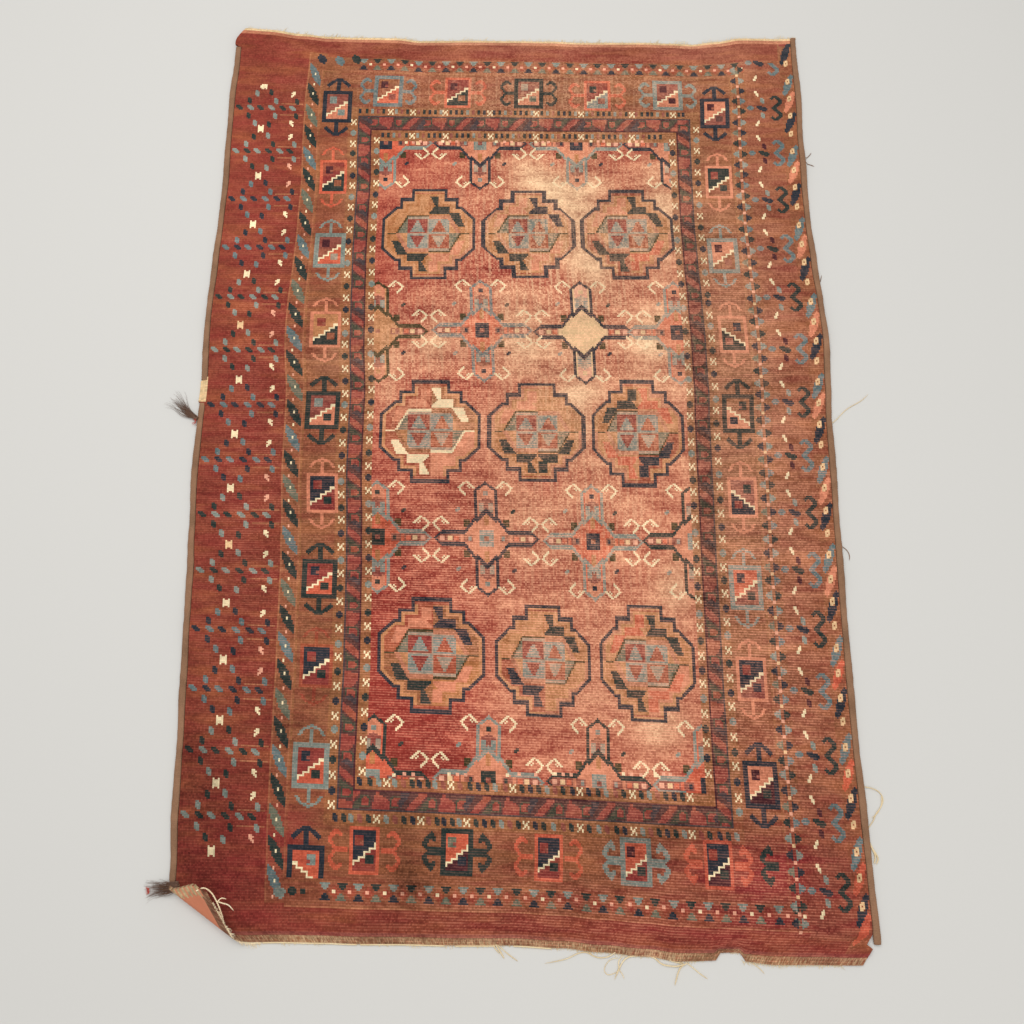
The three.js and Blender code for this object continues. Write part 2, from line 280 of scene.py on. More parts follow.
def isBound(side, v):
    held = v < -9999
    for row in bindings:
        if row["side"] == side:
            held = held | ((v > row["from"]) & (v < row["to"]))
    return held


def endShift(x, v):
    near = np.clip((sheetSize["halfLength"] + v) / sheetSize["endReach"], 0, 1)
    far = np.clip((sheetSize["halfLength"] - v) / sheetSize["endReach"], 0, 1)
    bite = np.clip(1 - (sheetSize["halfLength"] + v) / sheetSize["biteReach"], 0, 1)
    weave = follow(ends, "x", "nearWeave", x)
    shift = (weave + sheetSize["halfLength"]) * (1 - near) ** 2
    shift = shift + (follow(ends, "x", "near", x) - weave) * bite**2
    return shift + (follow(ends, "x", "far", x) - sheetSize["halfLength"]) * (1 - far) ** 2


def spread(u, v):  # where a point of the weave lies on the floor
    halfPile = sheetSize["halfPile"]
    names = list(driftPlaces)
    moved = u + 0.0
    for before, here, after in zip(names, names[1:], names[2:]):
        low, middle, high = (driftPlaces[name] for name in (before, here, after))
        hat = np.clip(np.minimum((u - low) / (middle - low), (high - u) / (high - middle)), 0, 1)
        moved = moved + hat * follow(drift, "y", here, v)
    v = v + follow(slopes, "y", "slope", v) * (u - driftPlaces["middle"])
    inner, outer = {}, {}
    for side in (-1, 1):
        edge = sideAt(side, v) - side * wornAt(side, v)
        inner[side] = edge - side * (sheetSize["bindingWidth"] + 0.4)
        outer[side] = np.where(isBound(side, v), inner[side] + side * 0.2, edge)
    across = np.clip((moved + halfPile) / (2 * halfPile), 0, 1)
    x = inner[-1] * (1 - across) + inner[1] * across
    past = np.clip((np.abs(u) - halfPile) / (sheetSize["halfWidth"] - halfPile), 0, 1)
    x = x + past * np.where(u < 0, outer[-1] - inner[-1], outer[1] - inner[1])
    return x, v + endShift(x, v)


def riseAt(x, y):
    rise = 0 * x
    for row in ripples:
        away = ((x - row["x"]) / row["halfX"]) ** 2 + ((y - row["y"]) / row["halfY"]) ** 2
        rise = rise + row["height"] * np.clip(1 - away, 0, 1) ** 2
    return rise


cornerX = float(sideAt(-1, np.array(-1.0 * sheetSize["halfLength"])))
cornerY = float(follow(ends, "x", "near", np.array(-1.0 * sheetSize["halfWidth"])))
foldLength = float(np.hypot(fold["alongSide"], fold["alongEnd"]))
inwardX, inwardY = fold["alongSide"] / foldLength, fold["alongEnd"] / foldLength


def bend(x, y, z):  # carries what lies past the fold line round the bend
    radius, angle = fold["radius"], fold["angle"]
    past = np.maximum((cornerX + fold["alongEnd"] - x) * inwardX + (cornerY - y) * inwardY, 0)
    turned = np.minimum(past / radius, angle)
    straight = np.maximum(past - radius * angle, 0)
    out = (radius - z) * np.sin(turned) + straight * cos(angle)
    up = radius * (1 - np.cos(turned)) + z * np.cos(turned) + straight * sin(angle)
    return np.stack([x + (past - out) * inwardX, y + (past - out) * inwardY, up], -1) * mm


def lay(x, y, z):
    return bend(x, y, z + riseAt(x, y))


def waves(x, y, size):  # a smooth unevenness, from -1 to 1
    a = np.sin(x / size + 1.9 * np.sin(y / size * 0.61 + 0.7))
    b = np.sin(y / size * 1.17 - 1.6 * np.sin(x / size * 0.53 + 2.1))
    return (a + b) / 2


# Dyes, in sRGB
dyes = {
    "field": (158, 62, 48),
    "panel": (136, 62, 46),
    "rust": (146, 89, 59),
    "brown": (154, 100, 62),
    "ochre": (184, 118, 70),
    "navy": (42, 50, 58),
    "green": (44, 56, 52),
    "blue": (130, 140, 130),
    "steel": (98, 118, 118),
    "moss": (108, 112, 94),
    "cream": (252, 230, 184),
    "orange": (214, 98, 70),
    "salmon": (216, 132, 100),
    "purple": (76, 36, 42),
    "maroon": (144, 60, 54),
    "pink": (240, 170, 140),
    "tan": (198, 134, 88),
    "rustPanel": (150, 88, 62),
    "olive": (66, 60, 36),
    "grey": (164, 146, 126),
    "line": (168, 106, 72),
    "sand": (236, 196, 146),
    "mauve": (146, 80, 68),
    "murk": (92, 58, 54),
    "redBrown": (164, 78, 54),
    "worn": (190, 120, 90),
    "rose": (156, 72, 62),
    "dusk": (74, 64, 66),
    "sage": (74, 74, 60),
    "warp": (222, 190, 142),
    "kilim": (140, 100, 70),
}
dyeNumber = {name: number for number, name in enumerate(dyes)}
knots = {"across": 402, "along": 630}  # a cell has three knots a side
cells = (knots["across"] // 3 + 2, knots["along"] // 3)
columnStops = np.concatenate(
    [
        [-sheetSize["halfWidth"]],
        np.linspace(-sheetSize["halfPile"], sheetSize["halfPile"], cells[0] - 1),
        [sheetSize["halfWidth"]],
    ]
)
rowStops = np.linspace(-sheetSize["halfLength"], sheetSize["halfLength"], cells[1] + 1)
knotWide = 2 * sheetSize["halfPile"] / knots["across"]
knotLong = 2 * sheetSize["halfLength"] / knots["along"]


def weaveAt(columns, rows):  # from cells to millimetres of the sheet as woven
    u = np.interp(columns, np.arange(cells[0] + 1), columnStops)
    return u, np.interp(rows, np.arange(cells[1] + 1), rowStops)


columnIndex, rowIndex = np.meshgrid(np.arange(cells[0] * 3), np.arange(cells[1] * 3))
knotU, knotV = weaveAt((columnIndex + 0.5) / 3, (rowIndex + 0.5) / 3)
knotX, knotY = spread(knotU, knotV)
# The pattern was measured on the floor as the camera sees it, past the top of the pile
knotTop = (sheetSize["pile"] + riseAt(knotX, knotY)) / (camera["place"][2] / mm)
knotX = knotX + (knotX - camera["place"][0] / mm) * knotTop
knotY = knotY + (knotY - camera["place"][1] / mm) * knotTop
chart = np.full(knotX.shape, dyeNumber["field"])


def knotAt(x, y):
    nearest = np.argmin((knotX - x) ** 2 + (knotY - y) ** 2)
    return np.unravel_index(nearest, chart.shape)


def columnAt(x, y=690):
    return int(knotAt(x, y)[1])


def rowAt(y, x=25):
    return int(knotAt(x, y)[0])


def block(dye, left, right, low, high):
    chart[low:high, left:right] = dyeNumber[dye]


def paint(dye, where):
    chart[where] = dyeNumber[dye]


def around(x, y):  # distances from a knot, in millimetres along the weave
    row, column = knotAt(x, y)
    return (columnIndex - column) * knotWide, (rowIndex - row) * knotLong


def floorAt(row, column):
    return knotX[row, column], knotY[row, column]


def draw(drawing, row, column, dye, ground=None, mirror=False, flip=False, quarter=False, over=0, up=0):
    rows = list(drawing)
    if quarter:  # turned a quarter
        rows = ["".join(line[k] for line in rows) for k in range(len(rows[0]))]
    rows = rows[::-1] if flip else rows
    row += round(up / knotLong) + len(rows) // 2
    column += round(over / knotWide) - len(rows[0]) // 2
    for down, line in enumerate(rows):
        for right, mark in enumerate(line[::-1] if mirror else line):
            laid = dye if mark == "#" else ground
            r, c = row - down, column + right
            if laid and 0 <= r < chart.shape[0] and 0 <= c < chart.shape[1]:
                chart[r, c] = dyeNumber[laid]


def stamp(drawing, x, y, dye, **how):
    draw(drawing, *knotAt(x, y), dye, **how)


# Borders: edges in mm on the floor, x read level with the far guard and y at the rug's middle
bands = {
    "leaf": (-424, -393),
    "main": {"left": -391, "right": 413, "low": -757, "high": 757},
    "guard": {"left": -336, "right": 350, "low": -673, "high": 681},
    "hooks": {"left": -317, "right": 335, "low": -651, "high": 661},
    "innerGuard": {"left": -290, "right": 309, "low": -621, "high": 634},
    "field": {"left": -272, "right": 291, "low": -600, "high": 607},
    "triangles": {"right": 446, "low": -793, "high": 794},
}
boxes = {  # main border: place, then the dyes of frame, upper half, its square, lower half, its square
    "left": (
        (-360, 687, "navy", "mauve", "blue", "salmon", "blue"),
        (-358, 528, "orange", "maroon", "purple", "green", "rust"),
        (-357, 370, "blue", "mauve", "purple", "orange", "grey"),
        (-357, 205, "salmon", "tan", "maroon", "green", "rust"),
        (-355, 48, "green", "mauve", "blue", "salmon", "green"),
        (-348, -108, "salmon", "navy", "maroon", "maroon", "green"),
        (-345, -262, "green", "maroon", "navy", "orange", "green"),
        (-343, -410, "redBrown", "navy", "maroon", "maroon", "green"),
        (-343, -570, "blue", "maroon", "navy", "orange", "green"),
        (-342, -729, "navy", "orange", "blue", "rust", "rust"),
    ),
    "right": (
        (380, 670, "navy", "salmon", "purple", "mauve", "murk"),
        (380, 515, "salmon", "green", "maroon", "rust", "green"),
        (380, 358, "blue", "salmon", "purple", "rust", "mauve"),
        (387, 195, "salmon", "rust", "navy", "green", "mauve"),
        (387, 42, "green", "rust", "green", "salmon", "navy"),
        (385, -115, "salmon", "mauve", "green", "navy", "maroon"),
        (380, -275, "blue", "orange", "navy", "mauve", "green"),
        (382, -432, "salmon", "navy", "maroon", "mauve", "navy"),
        (385, -600, "navy", "salmon", "purple", "purple", "green"),
    ),
    "far": (
        (-262, 723, "steel", "rust", "purple", "orange", "mauve"),
        (-125, 719, "orange", "maroon", "purple", "green", "rust"),
        (16, 717, "green", "mauve", "grey", "salmon", "moss"),
        (150, 712, "orange", "maroon", "green", "blue", "mauve"),
        (288, 712, "blue", "mauve", "purple", "salmon", "purple"),
    ),
    "near": (
        (-250, -700, "orange", "navy", "maroon", "maroon", "green"),
        (-104, -704, "green", "orange", "moss", "purple", "navy"),
        (42, -713, "orange", "navy", "maroon", "maroon", "green"),
        (178, -718, "blue", "orange", "purple", "maroon", "green"),
        (310, -722, "orange", "navy", "maroon", "purple", "green"),
    ),
}
anchor = (
    "......#####......",
    ".....#######.....",
    "...###########...",
    "..####.###.####..",
    ".####..###..####.",
    "####...###...####",
    "###....###....###",
    ".#.....###.....#.",
    ".......###.......",
    ".......###.......",
    ".......###.......",
)
arrow = (
    ".......##.......",
    ".....######.....",
    "...####..####...",
    "..##...##...##..",
    ".##....##....##.",
    ".##....##....##.",
    "##.....##.....##",
    ".......##.......",
    ".......##.......",
    ".......##.......",
    ".......##.......",
)
horns = (
    "....####.......####....",
    "..#######.....#######..",
    ".####..####.####..####.",
    "####.....#####.....####",
    "###.......###.......###",
    "###.......###.......###",
    ".###......###......###.",
    "..##......###......##..",
    "..........###..........",
    "..........###..........",
    "..........###..........",
)
heavyHorns = (
    "......###.....###......",
    "....######...######....",
    "...########.########...",
    "..#####..#####..#####..",
    ".####....#####....####.",
    "#####....#####....#####",
    ".#####...#####...#####.",
    "...###...#####...###...",
    ".........#####.........",
    ".........#####.........",
    ".........#####.........",
)
smallCross = ("#..#", "#.#.", ".##.", ".#.#", "#..#")
smallSquare = (".##.", "####", "####", "####", ".##.")
slimSquare = ("##.", "###", "###", "###", ".##")
bar = ("##", "##", "##", "##")
star = ("#..#", "####", "####", "####", "####", "#..#")
smallStar = (".##", "###", ".##", "##.", "#..")
leaning = ("###..", "####.", ".####", "..###")
leafStar = (".##", "###", "#.#", "###", "##.")
sideTriangle = ("#...", "###.", "####", "####", "###.", "#...")
pointDown = (".######.", "..####..", "..####..", "...##...")
hook = (
    "....##.....",
    "...##.##...",
    "..##...##..",
    ".##.#...##.",
    "##.#.....##",
    ".........#.",
    "........##.",
    ".......##..",
    "......##...",
    "......#....",
)
hookedBorder = (
    "rrrrrrrrr",
    "rrrrrrrrr",
    "rrrrrrrr.",
    "rrrrrrrr.",
    "rrrrrrr..",
    "rrrrrrr..",
    "rrrrrr...",
    "rrrrr....",
    ".dddddd..",
    ".drrrrdd.",
    ".drrrrrd.",
    ".drrrrrd.",
    ".dr..rrd.",
    "..nnnnrd.",
    ".nnnnnnnn",
    "...nnnnnn",
    ".....nnnn",
    "r.....nnn",
    "rr......n",
    "rrrr.....",
    "rrrrr....",
    "rrrrrr...",
    ".rrrrrr..",
    "..rrrrrr.",
    "d..rrrrrr",
    "dd..rrrrr",
    "dddd..rrr",
    "ddddd..rr",
    "dddddd..r",
    ".ddddddd.",
    ".drrrrdd.",
    ".drrrrrd.",
    ".drrrrrd.",
    ".drrrrdd.",
    ".dddddd..",
    ".........",
    "rrrr.....",
    "rrrrrrrr.",
)


def frameRing(dye, outer, inner):
    box = bands[outer]
    block(dye, columnAt(box["left"]), columnAt(box["right"]), rowAt(box["low"]), rowAt(box["high"]))
    box = bands[inner]
    return columnAt(box["left"]), columnAt(box["right"]), rowAt(box["low"]), rowAt(box["high"])


def paintGrounds():
    chart[:] = dyeNumber["panel"]
    left, right = columnAt(446), columnAt(516)
    block("rustPanel", left, chart.shape[1], rowAt(-806), rowAt(796))
    block("rust", columnAt(516), chart.shape[1], rowAt(-826), chart.shape[0])
    leafLeft, leafRight = (columnAt(x) for x in bands["leaf"])
    low, high = rowAt(-776, -400), rowAt(812, -400)
    block("rust", leafLeft, leafRight + 2, low, high)
    block("line", leafLeft, leafLeft + 1, low, high)
    ring = bands["triangles"]
    block("rust", leafRight, columnAt(ring["right"]), rowAt(ring["low"]), rowAt(ring["high"]))
    block("line", leafRight, columnAt(ring["right"]), rowAt(ring["low"]) - 1, rowAt(ring["low"]))
    main = bands["main"]
    edges = [columnAt(main["left"]), columnAt(main["right"]), rowAt(main["low"]), rowAt(main["high"])]
    block("line", edges[0] - 2, edges[1] + 2, edges[2] - 2, edges[3] + 2)
    block("brown", edges[0] - 1, edges[1] + 1, edges[2] - 1, edges[3] + 1)
    block("rust", *edges)
    inner = frameRing("brown", "guard", "hooks")
    block("dusk", *inner)
    block("murk", inner[0] + 1, inner[1] - 1, inner[2] + 1, inner[3] - 1)
    inner = frameRing("purple", "innerGuard", "innerGuard")
    block("brown", inner[0] + 1, inner[1] - 1, inner[2] + 1, inner[3] - 1)
    inner = frameRing("field", "field", "field")


boxSize = {"half": 26, "nearHalf": 24, "halfLong": 36.5, "wall": 6.4, "heavyWall": 8.2, "stair": 3}
boxSize |= {"anchors": 51, "horns": 40}


def boxAt(x, y, frameDye, upper, upperSquare, lower, lowerSquare, leans, half):
    dx, dy = around(x, y)
    dx = dx * leans
    heavy = frameDye in ("navy", "green", "blue", "steel")
    half, wall = (half + 1.2, boxSize["heavyWall"]) if heavy else (half - 0.6, boxSize["wall"])
    halfLong, stair = boxSize["halfLong"], boxSize["stair"]
    paint(frameDye, (abs(dx) < half) & (abs(dy) < halfLong))
    within = half - wall
    inside = (abs(dx) < within) & (abs(dy) < halfLong - wall)
    step = np.floor((dx + within) / knotWide)
    level = np.floor(step / stair) * knotLong * 2.4 - 18
    paint(upper, inside)
    paint(lower, inside & (dy < level))
    riser = (step % stair == 0) & (dy >= level - 2.2 * knotLong)
    paint("cream", inside & ((dy >= level) | riser) & (dy < level + 1.1 * knotLong))
    paint(upperSquare, (abs(dx + 8) < 7) & (abs(dy - 15) < 7.5))
    paint("mauve", (abs(dx + 5) < 2.5) & (abs(dy - 12) < 2.5) & (upper != "mauve"))
    paint(lowerSquare, (abs(dx - 8) < 7) & (abs(dy + 14) < 6.5))


def paintMainBorder():
    for side, rows in boxes.items():
        for x, y, *colours in rows:
            dye, near = colours[0], side == "near"
            leans = -1 if (side == "right" and -200 < y < 250) or y == -729 else 1
            boxAt(x, y, *colours, leans, boxSize["nearHalf" if near else "half"])
            if side in ("left", "right"):
                drawing = anchor if dye in ("navy", "green") else arrow
                stamp(drawing, x, y, dye, up=boxSize["anchors"])
                if y > -700:
                    stamp(drawing, x, y, dye, up=-boxSize["anchors"], flip=True)
            else:
                drawing = heavyHorns if near and (dye != "orange" or x > 300) else horns
                stamp(drawing, x, y, dye, over=-boxSize["horns"], quarter=True)
                stamp(drawing, x, y, dye, over=boxSize["horns"], quarter=True, mirror=True)
    stamp(heavyHorns, 391, -725, "green", quarter=True)
    left, right, low = columnAt(-388, -750), columnAt(-309, -750), rowAt(bands["main"]["low"])
    block("rust", left, right, rowAt(-770, -350), rowAt(-741, -350))
    block("line", left, right, low - 2, low - 1)
    block("brown", left, right, low - 1, low)
    block("panel", columnAt(-424, -760), columnAt(bands["main"]["right"]), rowAt(-806), rowAt(-794))


guards = (  # along one side each: its line, and where its crosses are
    {"y": 670, "from": -312, "to": 330, "crosses": (-254, -209, -145, -60, 33, 119, 218, 300)},
    {"y": 617, "from": -268, "to": 285, "crosses": (-210, -144, -58, 31, 119, 217)},
    {"y": -609, "from": -262, "to": 285, "crosses": (-218, -114, -15, 93, 177, 270)},
    {"y": -664, "from": -300, "to": 356, "crosses": (-233, -162, -88, 6, 93, 178, 270)},
    {"x": -324, "from": -640, "to": 650, "turn": 0},
    {"x": 344, "from": 270, "to": 632, "turn": 0},
    {"x": 344, "from": -645, "to": 259, "turn": -1},
    {"x": -279, "from": -590, "to": 608, "turn": 0},
    {"x": 298, "from": -590, "to": 605, "turn": 4},
)


def paintGuards():
    for guard in guards:
        if "x" in guard:
            column, y, k = columnAt(guard["x"]), guard["to"], guard["turn"]
            while y > guard["from"]:
                row = int(np.argmin(abs(knotY[:, column] - y)))
                if k % 2:
                    draw(smallSquare, row, column, ("blue", "green", "navy")[k // 2 % 3])
                else:
                    draw(smallCross, row, column, "cream")
                y, k = y - 23.75, k + 1
            continue
        row = rowAt(guard["y"])
        stops = (guard["from"], *guard["crosses"], guard["to"])
        for k, (before, after) in enumerate(zip(stops, stops[1:])):
            parts = max(round((after - before) / (10.8 if row > 400 else 13.4)), 1)
            for n in range(parts):
                x = before + (after - before) * n / parts
                y = knotY[row, columnAt(x, guard["y"])]
                if n == 0 and k:
                    stamp(smallCross, x, y, "cream")
                else:
                    dye = ("navy", "green", "blue", "mauve", "green")[(n + k) % 5]
                    stamp(bar if row > 400 else slimSquare, x, y, dye)


def paintHooks():  # the running hooks of the dark inner border
    box, hole = bands["hooks"], bands["innerGuard"]
    left, right = columnAt(box["left"]), columnAt(box["right"])
    low, high = rowAt(box["low"]), rowAt(box["high"])
    inLeft, inRight = columnAt(hole["left"]), columnAt(hole["right"])
    inLow, inHigh = rowAt(hole["low"]), rowAt(hole["high"])
    marks = {"r": "rose", "d": "sage", "n": "dusk", ".": "murk"}
    strip = np.array([[dyeNumber[marks[mark]] for mark in line] for line in hookedBorder])
    sections = (
        (rowIndex >= inHigh, -columnIndex, high - 2 - rowIndex),
        (rowIndex < inLow, columnIndex, rowIndex - low - 1),
        (columnIndex < inLeft, -rowIndex, columnIndex - left - 1),
        (columnIndex >= inRight, -rowIndex - 9, columnIndex - inRight),
    )
    ring = (columnIndex > left) & (columnIndex < right - 1) & (rowIndex > low) & (rowIndex < high - 1)
    ring &= ~((columnIndex >= inLeft) & (columnIndex < inRight) & (rowIndex >= inLow) & (rowIndex < inHigh))
    for where, along, across in sections:
        where = where & ring
        chart[where] = strip[along % len(strip), np.clip(across, 0, 8)][where]


triangles = {"pitch": 27.3, "first": -309.9, "sidePitch": 23.94, "sideTop": 772, "sideX": 430}
dot = ("##", "##")


def paintTriangles():
    pitch = triangles["pitch"]
    for top, bottom, dots in ((783, 768, 775), (-766, -782, -774)):
        x, k = triangles["first"], 0
        while x < 436:
            upper, lower = ("green", "moss") if k % 2 else ("blue", "navy")
            row = rowAt(dots)
            shift = knotY[row, columnAt(x, dots)] - knotY[row, columnAt(25, dots)]
            stamp(pointDown, x, top + shift, upper)
            stamp(pointDown, x, bottom + shift, lower, flip=True)
            dx, dy = around(x + pitch / 2, dots + shift)
            paint("redBrown", (abs(dx) + 0.9 * abs(dy) < 9) & (chart == dyeNumber["rust"]))
            stamp(dot, x + pitch / 2, dots + shift, "pink" if k % 3 else "cream")
            x, k = x + pitch, k + 1
    y, k = triangles["sideTop"], 0
    column = columnAt(triangles["sideX"])
    while y > -790:
        row = rowAt(y)
        x, here = floorAt(row, column)
        draw(sideTriangle, row, column, ("blue", "navy", "moss", "green")[k % 4], over=-8, mirror=True)
        draw(sideTriangle, row, column, ("green", "blue", "navy", "steel")[k % 4], over=8)
        stamp(dot, x, here - 12, "pink" if k % 3 else "sand")
        y, k = y - triangles["sidePitch"], k + 1


# The left panel: rows of lozenges, and for each what lies on its line and beside it, in knots over and up
lozenges = {
    "y": (683, 583, 478, 375, 270, 163, 57, -47, -148, -247, -349, -448, -548, -649),
    "onLine": (-8, -1, 7, 15, 22, -16),
    "beside": ((10, 6), (-9, 6), (25, 6), (-4, 12), (6, 13)),
}


def paintLeftPanel():
    middle = columnAt(-508, 690)
    for k, y in enumerate(lozenges["y"]):
        pair = ("green", "blue") if k % 4 < 2 else ("navy", "steel")
        first, second = pair if k % 2 else pair[::-1]
        row = rowAt(y, -490)
        for edge in (4, -5):
            chart[row + edge, columnAt(-470) : columnAt(-425)] = dyeNumber["line"]
        for n, over in enumerate(lozenges["onLine"]):
            draw(leaning, row, middle + over, (first, second)[n % 2])
        for sign in (1, -1):
            for (over, up), dye in zip(lozenges["beside"], (first, second, second, first, second)):
                draw(slimSquare, row + sign * up, middle + over, dye)
            dye = "pink" if (k + sign) % 3 == 0 else "cream"
            draw(smallStar, row + sign * 12, middle + 22, dye, mirror=sign < 0)
        draw(star, row + 18, middle + 1, "sand" if k in (5, 9) else "cream")
    draw(star, rowAt(-703, -500), middle, "cream")
    top = rowAt(724, -500)
    block("panel", 3, columnAt(-426), top + 5, chart.shape[0])
    stamp((".##.", "####", "####", ".##."), -507, 732, "cream")


def leafAt(x, y, dye, acrossX, length, width):
    dx, dy = around(x, y)
    along = (dx * acrossX + dy * (1 - acrossX**2) ** 0.5) / length
    aside = abs(dy * acrossX - dx * (1 - acrossX**2) ** 0.5) / width
    paint(dye, (abs(along) < 1) & (aside < 1 - along**2))


leaves = {"width": 7.4, "leftLength": 28, "leftLean": -0.42, "rightLength": 29, "rightLean": 0.36}


def paintLeafBands():
    column = columnAt(-408)
    y, k = 762, 0
    while y > -752:
        x, here = floorAt(rowAt(y, -408), column)
        dye = "green" if k % 2 else ("steel" if k % 4 == 0 else "moss")
        leafAt(x, here, dye, leaves["leftLean"], leaves["leftLength"], leaves["width"])
        stamp("##", x, here, "cream")
        stamp("##", x - 1, here - 24, "pink" if k % 3 else "cream")
        y, k = y - (48 if y > 0 else 46.4), k + 1
    for x, y, dye in ((-396, 797, "navy"), (-360, 792, "steel"), (-327, 797, "green")):
        leafAt(x, y, dye, -0.45, 14, 8)
    for x, y, dye, size in ((-380, -763, "blue", 10), (-362, -761, "green", 7.5), (-345, -761, "green", 6)):
        leafAt(x, y, dye, -0.6, size, size * 0.9)
    block("maroon", columnAt(518), columnAt(538), rowAt(826), rowAt(842))
    y, column = 810, columnAt(528)
    while y > -850:
        for dye, offset in (("navy", 0), ("steel", -75), ("salmon" if y > -186 else "orange", -114)):
            x, here = floorAt(rowAt(max(y + offset, -820), 528), column)
            leafAt(x, here, dye, leaves["rightLean"], leaves["rightLength"], leaves["width"])
        y -= 160
    y = 785
    while y > -822:
        draw(leafStar, rowAt(y, 528), column, "sand", ground="brown")
        y -= 40.2


bracket = (
    "..####...",
    ".######..",
    "###.####.",
    ".#...####",
    "......###",
    "......###",
    ".....####",
    "....####.",
    "...####..",
    "..####...",
    ".####....",
)


panelShapes = {
    "dash": ("##.", "##.", ".##", ".##", "..#"),
    "small": (".###.", "#####", "#####", ".###."),
    "fat": ("####....", "#######.", ".#######", "..######", "....###."),
}


def paintRightPanel():
    y, k = 682, 0
    dash, small, fat, hooked = (columnAt(x) for x in (463, 450, 475, 501))
    while y > -800:
        for up in (34, -34):
            draw(panelShapes["dash"], rowAt(y + up, 480), dash, "cream", flip=up < 0)
        row = rowAt(y, 480)
        draw(panelShapes["small"], row, small, "steel")
        draw(panelShapes["fat"], row, fat, "green" if k % 2 else "navy")
        for up in (17, -17):
            draw(slimSquare, rowAt(y + up, 480), fat, ("blue", "purple")[k % 2])
        draw(bracket + bracket[::-1], row, hooked, "steel" if k % 2 else "green")
        y, k = y - 103.2, k + 1
    stamp(bracket[::-1], 501, 772, "steel")
    stamp(panelShapes["fat"], 475, 787, "navy")
    stamp(panelShapes["small"], 452, 787, "steel")
    stamp(panelShapes["dash"], 463, 752, "cream", flip=True)


# The field: three rows of three main guls, with crossed guls between them
# x, y, width, height; then the clubs of the quarters and their grounds
# (both from far left, far right, near left to near right)
guls = (
    (-174, 404, 177, 192, "tan", "green", "green", "salmon", "ochre", "ochre", "ochre", "tan"),
    (15, 405, 172, 186, "salmon", "navy", "green", "salmon", "tan", "tan", "ochre", "tan"),
    (201, 404, 173, 190, "salmon", "green", "green", "orange", "tan", "ochre", "redBrown", "tan"),
    (-163, 7, 177, 196, "salmon", "cream", "cream", "salmon", "redBrown", "brown", "redBrown", "salmon"),
    (28, 5, 174, 186, "salmon", "tan", "green", "green", "tan", "ochre", "ochre", "tan"),
    (207, 3, 166, 202, "green", "orange", "orange", "navy", "ochre", "tan", "tan", "redBrown"),
    (-150, -389, 176, 196, "salmon", "navy", "green", "salmon", "redBrown", "brown", "brown", "ochre"),
    (36, -399, 164, 186, "tan", "green", "navy", "ochre", "ochre", "ochre", "redBrown", "tan"),
    (207, -405, 165, 194, "orange", "green", "green", "orange", "tan", "ochre", "ochre", "salmon"),
)
crossedGuls = (  # x, y, outline, filling, heart
    (-262, 604, "blue", "orange", "navy"),
    (-78, 603, "navy", "salmon", "blue"),
    (107, 600, "blue", "salmon", "navy"),
    (290, 598, "navy", "salmon", "blue"),
    (-262, 202, "olive", "tan", "tan"),
    (-73, 203, "steel", "orange", "navy"),
    (113, 199, "navy", "sand", "sand"),
    (285, 200, "blue", "orange", "navy"),
    (-250, -188, "blue", "orange", "green"),
    (-60, -190, "navy", "salmon", "blue"),
    (124, -195, "blue", "orange", "navy"),
    (298, -196, "green", "salmon", "blue"),
    (-243, -590, "green", "orange", "blue"),
    (-56, -594, "blue", "salmon", "green"),
    (125, -598, "green", "salmon", "blue"),
    (300, -606, "blue", "orange", "navy"),
)


def inStepped(dx, dy, grow):
    ax, ay = abs(dx), abs(dy)
    tower = (ay < 96 + grow) & (ax < 34 + grow)
    shoulder = (ay < 76 + grow) & (ax < 56 + grow)
    belly = (ax < 88 + grow) & (ay < 58 + grow) & (ax + 0.97 * ay < 117 + 1.15 * grow)
    return tower | shoulder | belly


def mainGul(x, y, wide, tall, *rest):
    clubs, grounds = rest[:4], rest[4:]
    dx, dy = around(x, y)
    window = (abs(dx) < 110) & (abs(dy) < 115) & fieldMask
    dx, dy = dx * 176 / wide, dy * 192 / tall
    ax, ay = abs(dx), abs(dy)
    paint("navy", window & inStepped(dx, dy, 0))
    inner = window & inStepped(dx, dy, -6.6)
    rim = (ax + 0.55 * ay < 61) & (ay < 40)
    for number in range(4):
        here = inner & ((dx > 0) == (number % 2 == 1)) & ((dy > 0) == (number < 2))
        falling = number in (0, 3)  # the far left and near right quarters
        paint(grounds[number], here)
        paint("tan" if grounds[number] != "tan" else "worn", here & ~inStepped(dx, dy, -12))
        paint("redBrown", here & (ay > 84) & (ay < 88))
        slant = (ay > 43) & (ay < 58.5) & (ax < 38) & (ax > (ay - 43) * 0.8 - 1)
        if falling:
            stem = (ay >= 58) & (ay < 79) & (ax > 1) & (ax < 18)
        else:
            stem = (ay >= 58) & (ay < 80) & (ax > 1 + (79 - ay) * 0.5) & (ax < 18)
        blob = (ay > 16) & (ay < 44) & (ax > 35 + (44 - ay) * 0.7) & (ax < 57 + (44 - ay) * 0.36)
        paint(clubs[number], here & (slant | stem | blob))
        pale = "cream" in clubs
        paint("cream" if pale else "olive", here & (ay < 2.2) & (ax > 57) & (ax < 76))
        edge = rim & ~((ax + 0.55 * ay < (57.5 if falling else 53)) & (ay < (36.5 if falling else 32)))
        paint("grey", here & rim)
        paint(("cream" if pale else "olive") if falling else ("brown" if pale else "worn"), here & edge)
        core = here & rim & ~edge
        paint("tan" if not falling else "moss", core & (ax > 38))
        cell = core & (ax < 38) & (ax > 1.4) & (ay < 31) & (ay > 1.4)
        paint(("maroon", "blue", "blue", "redBrown")[number], cell)
        wedge = abs(ax - 20) < 14 - (ay - 3) * 0.5
        paint(("blue", "redBrown", "maroon", "grey")[number], cell & wedge & (ay > 3) & (ay < 27))


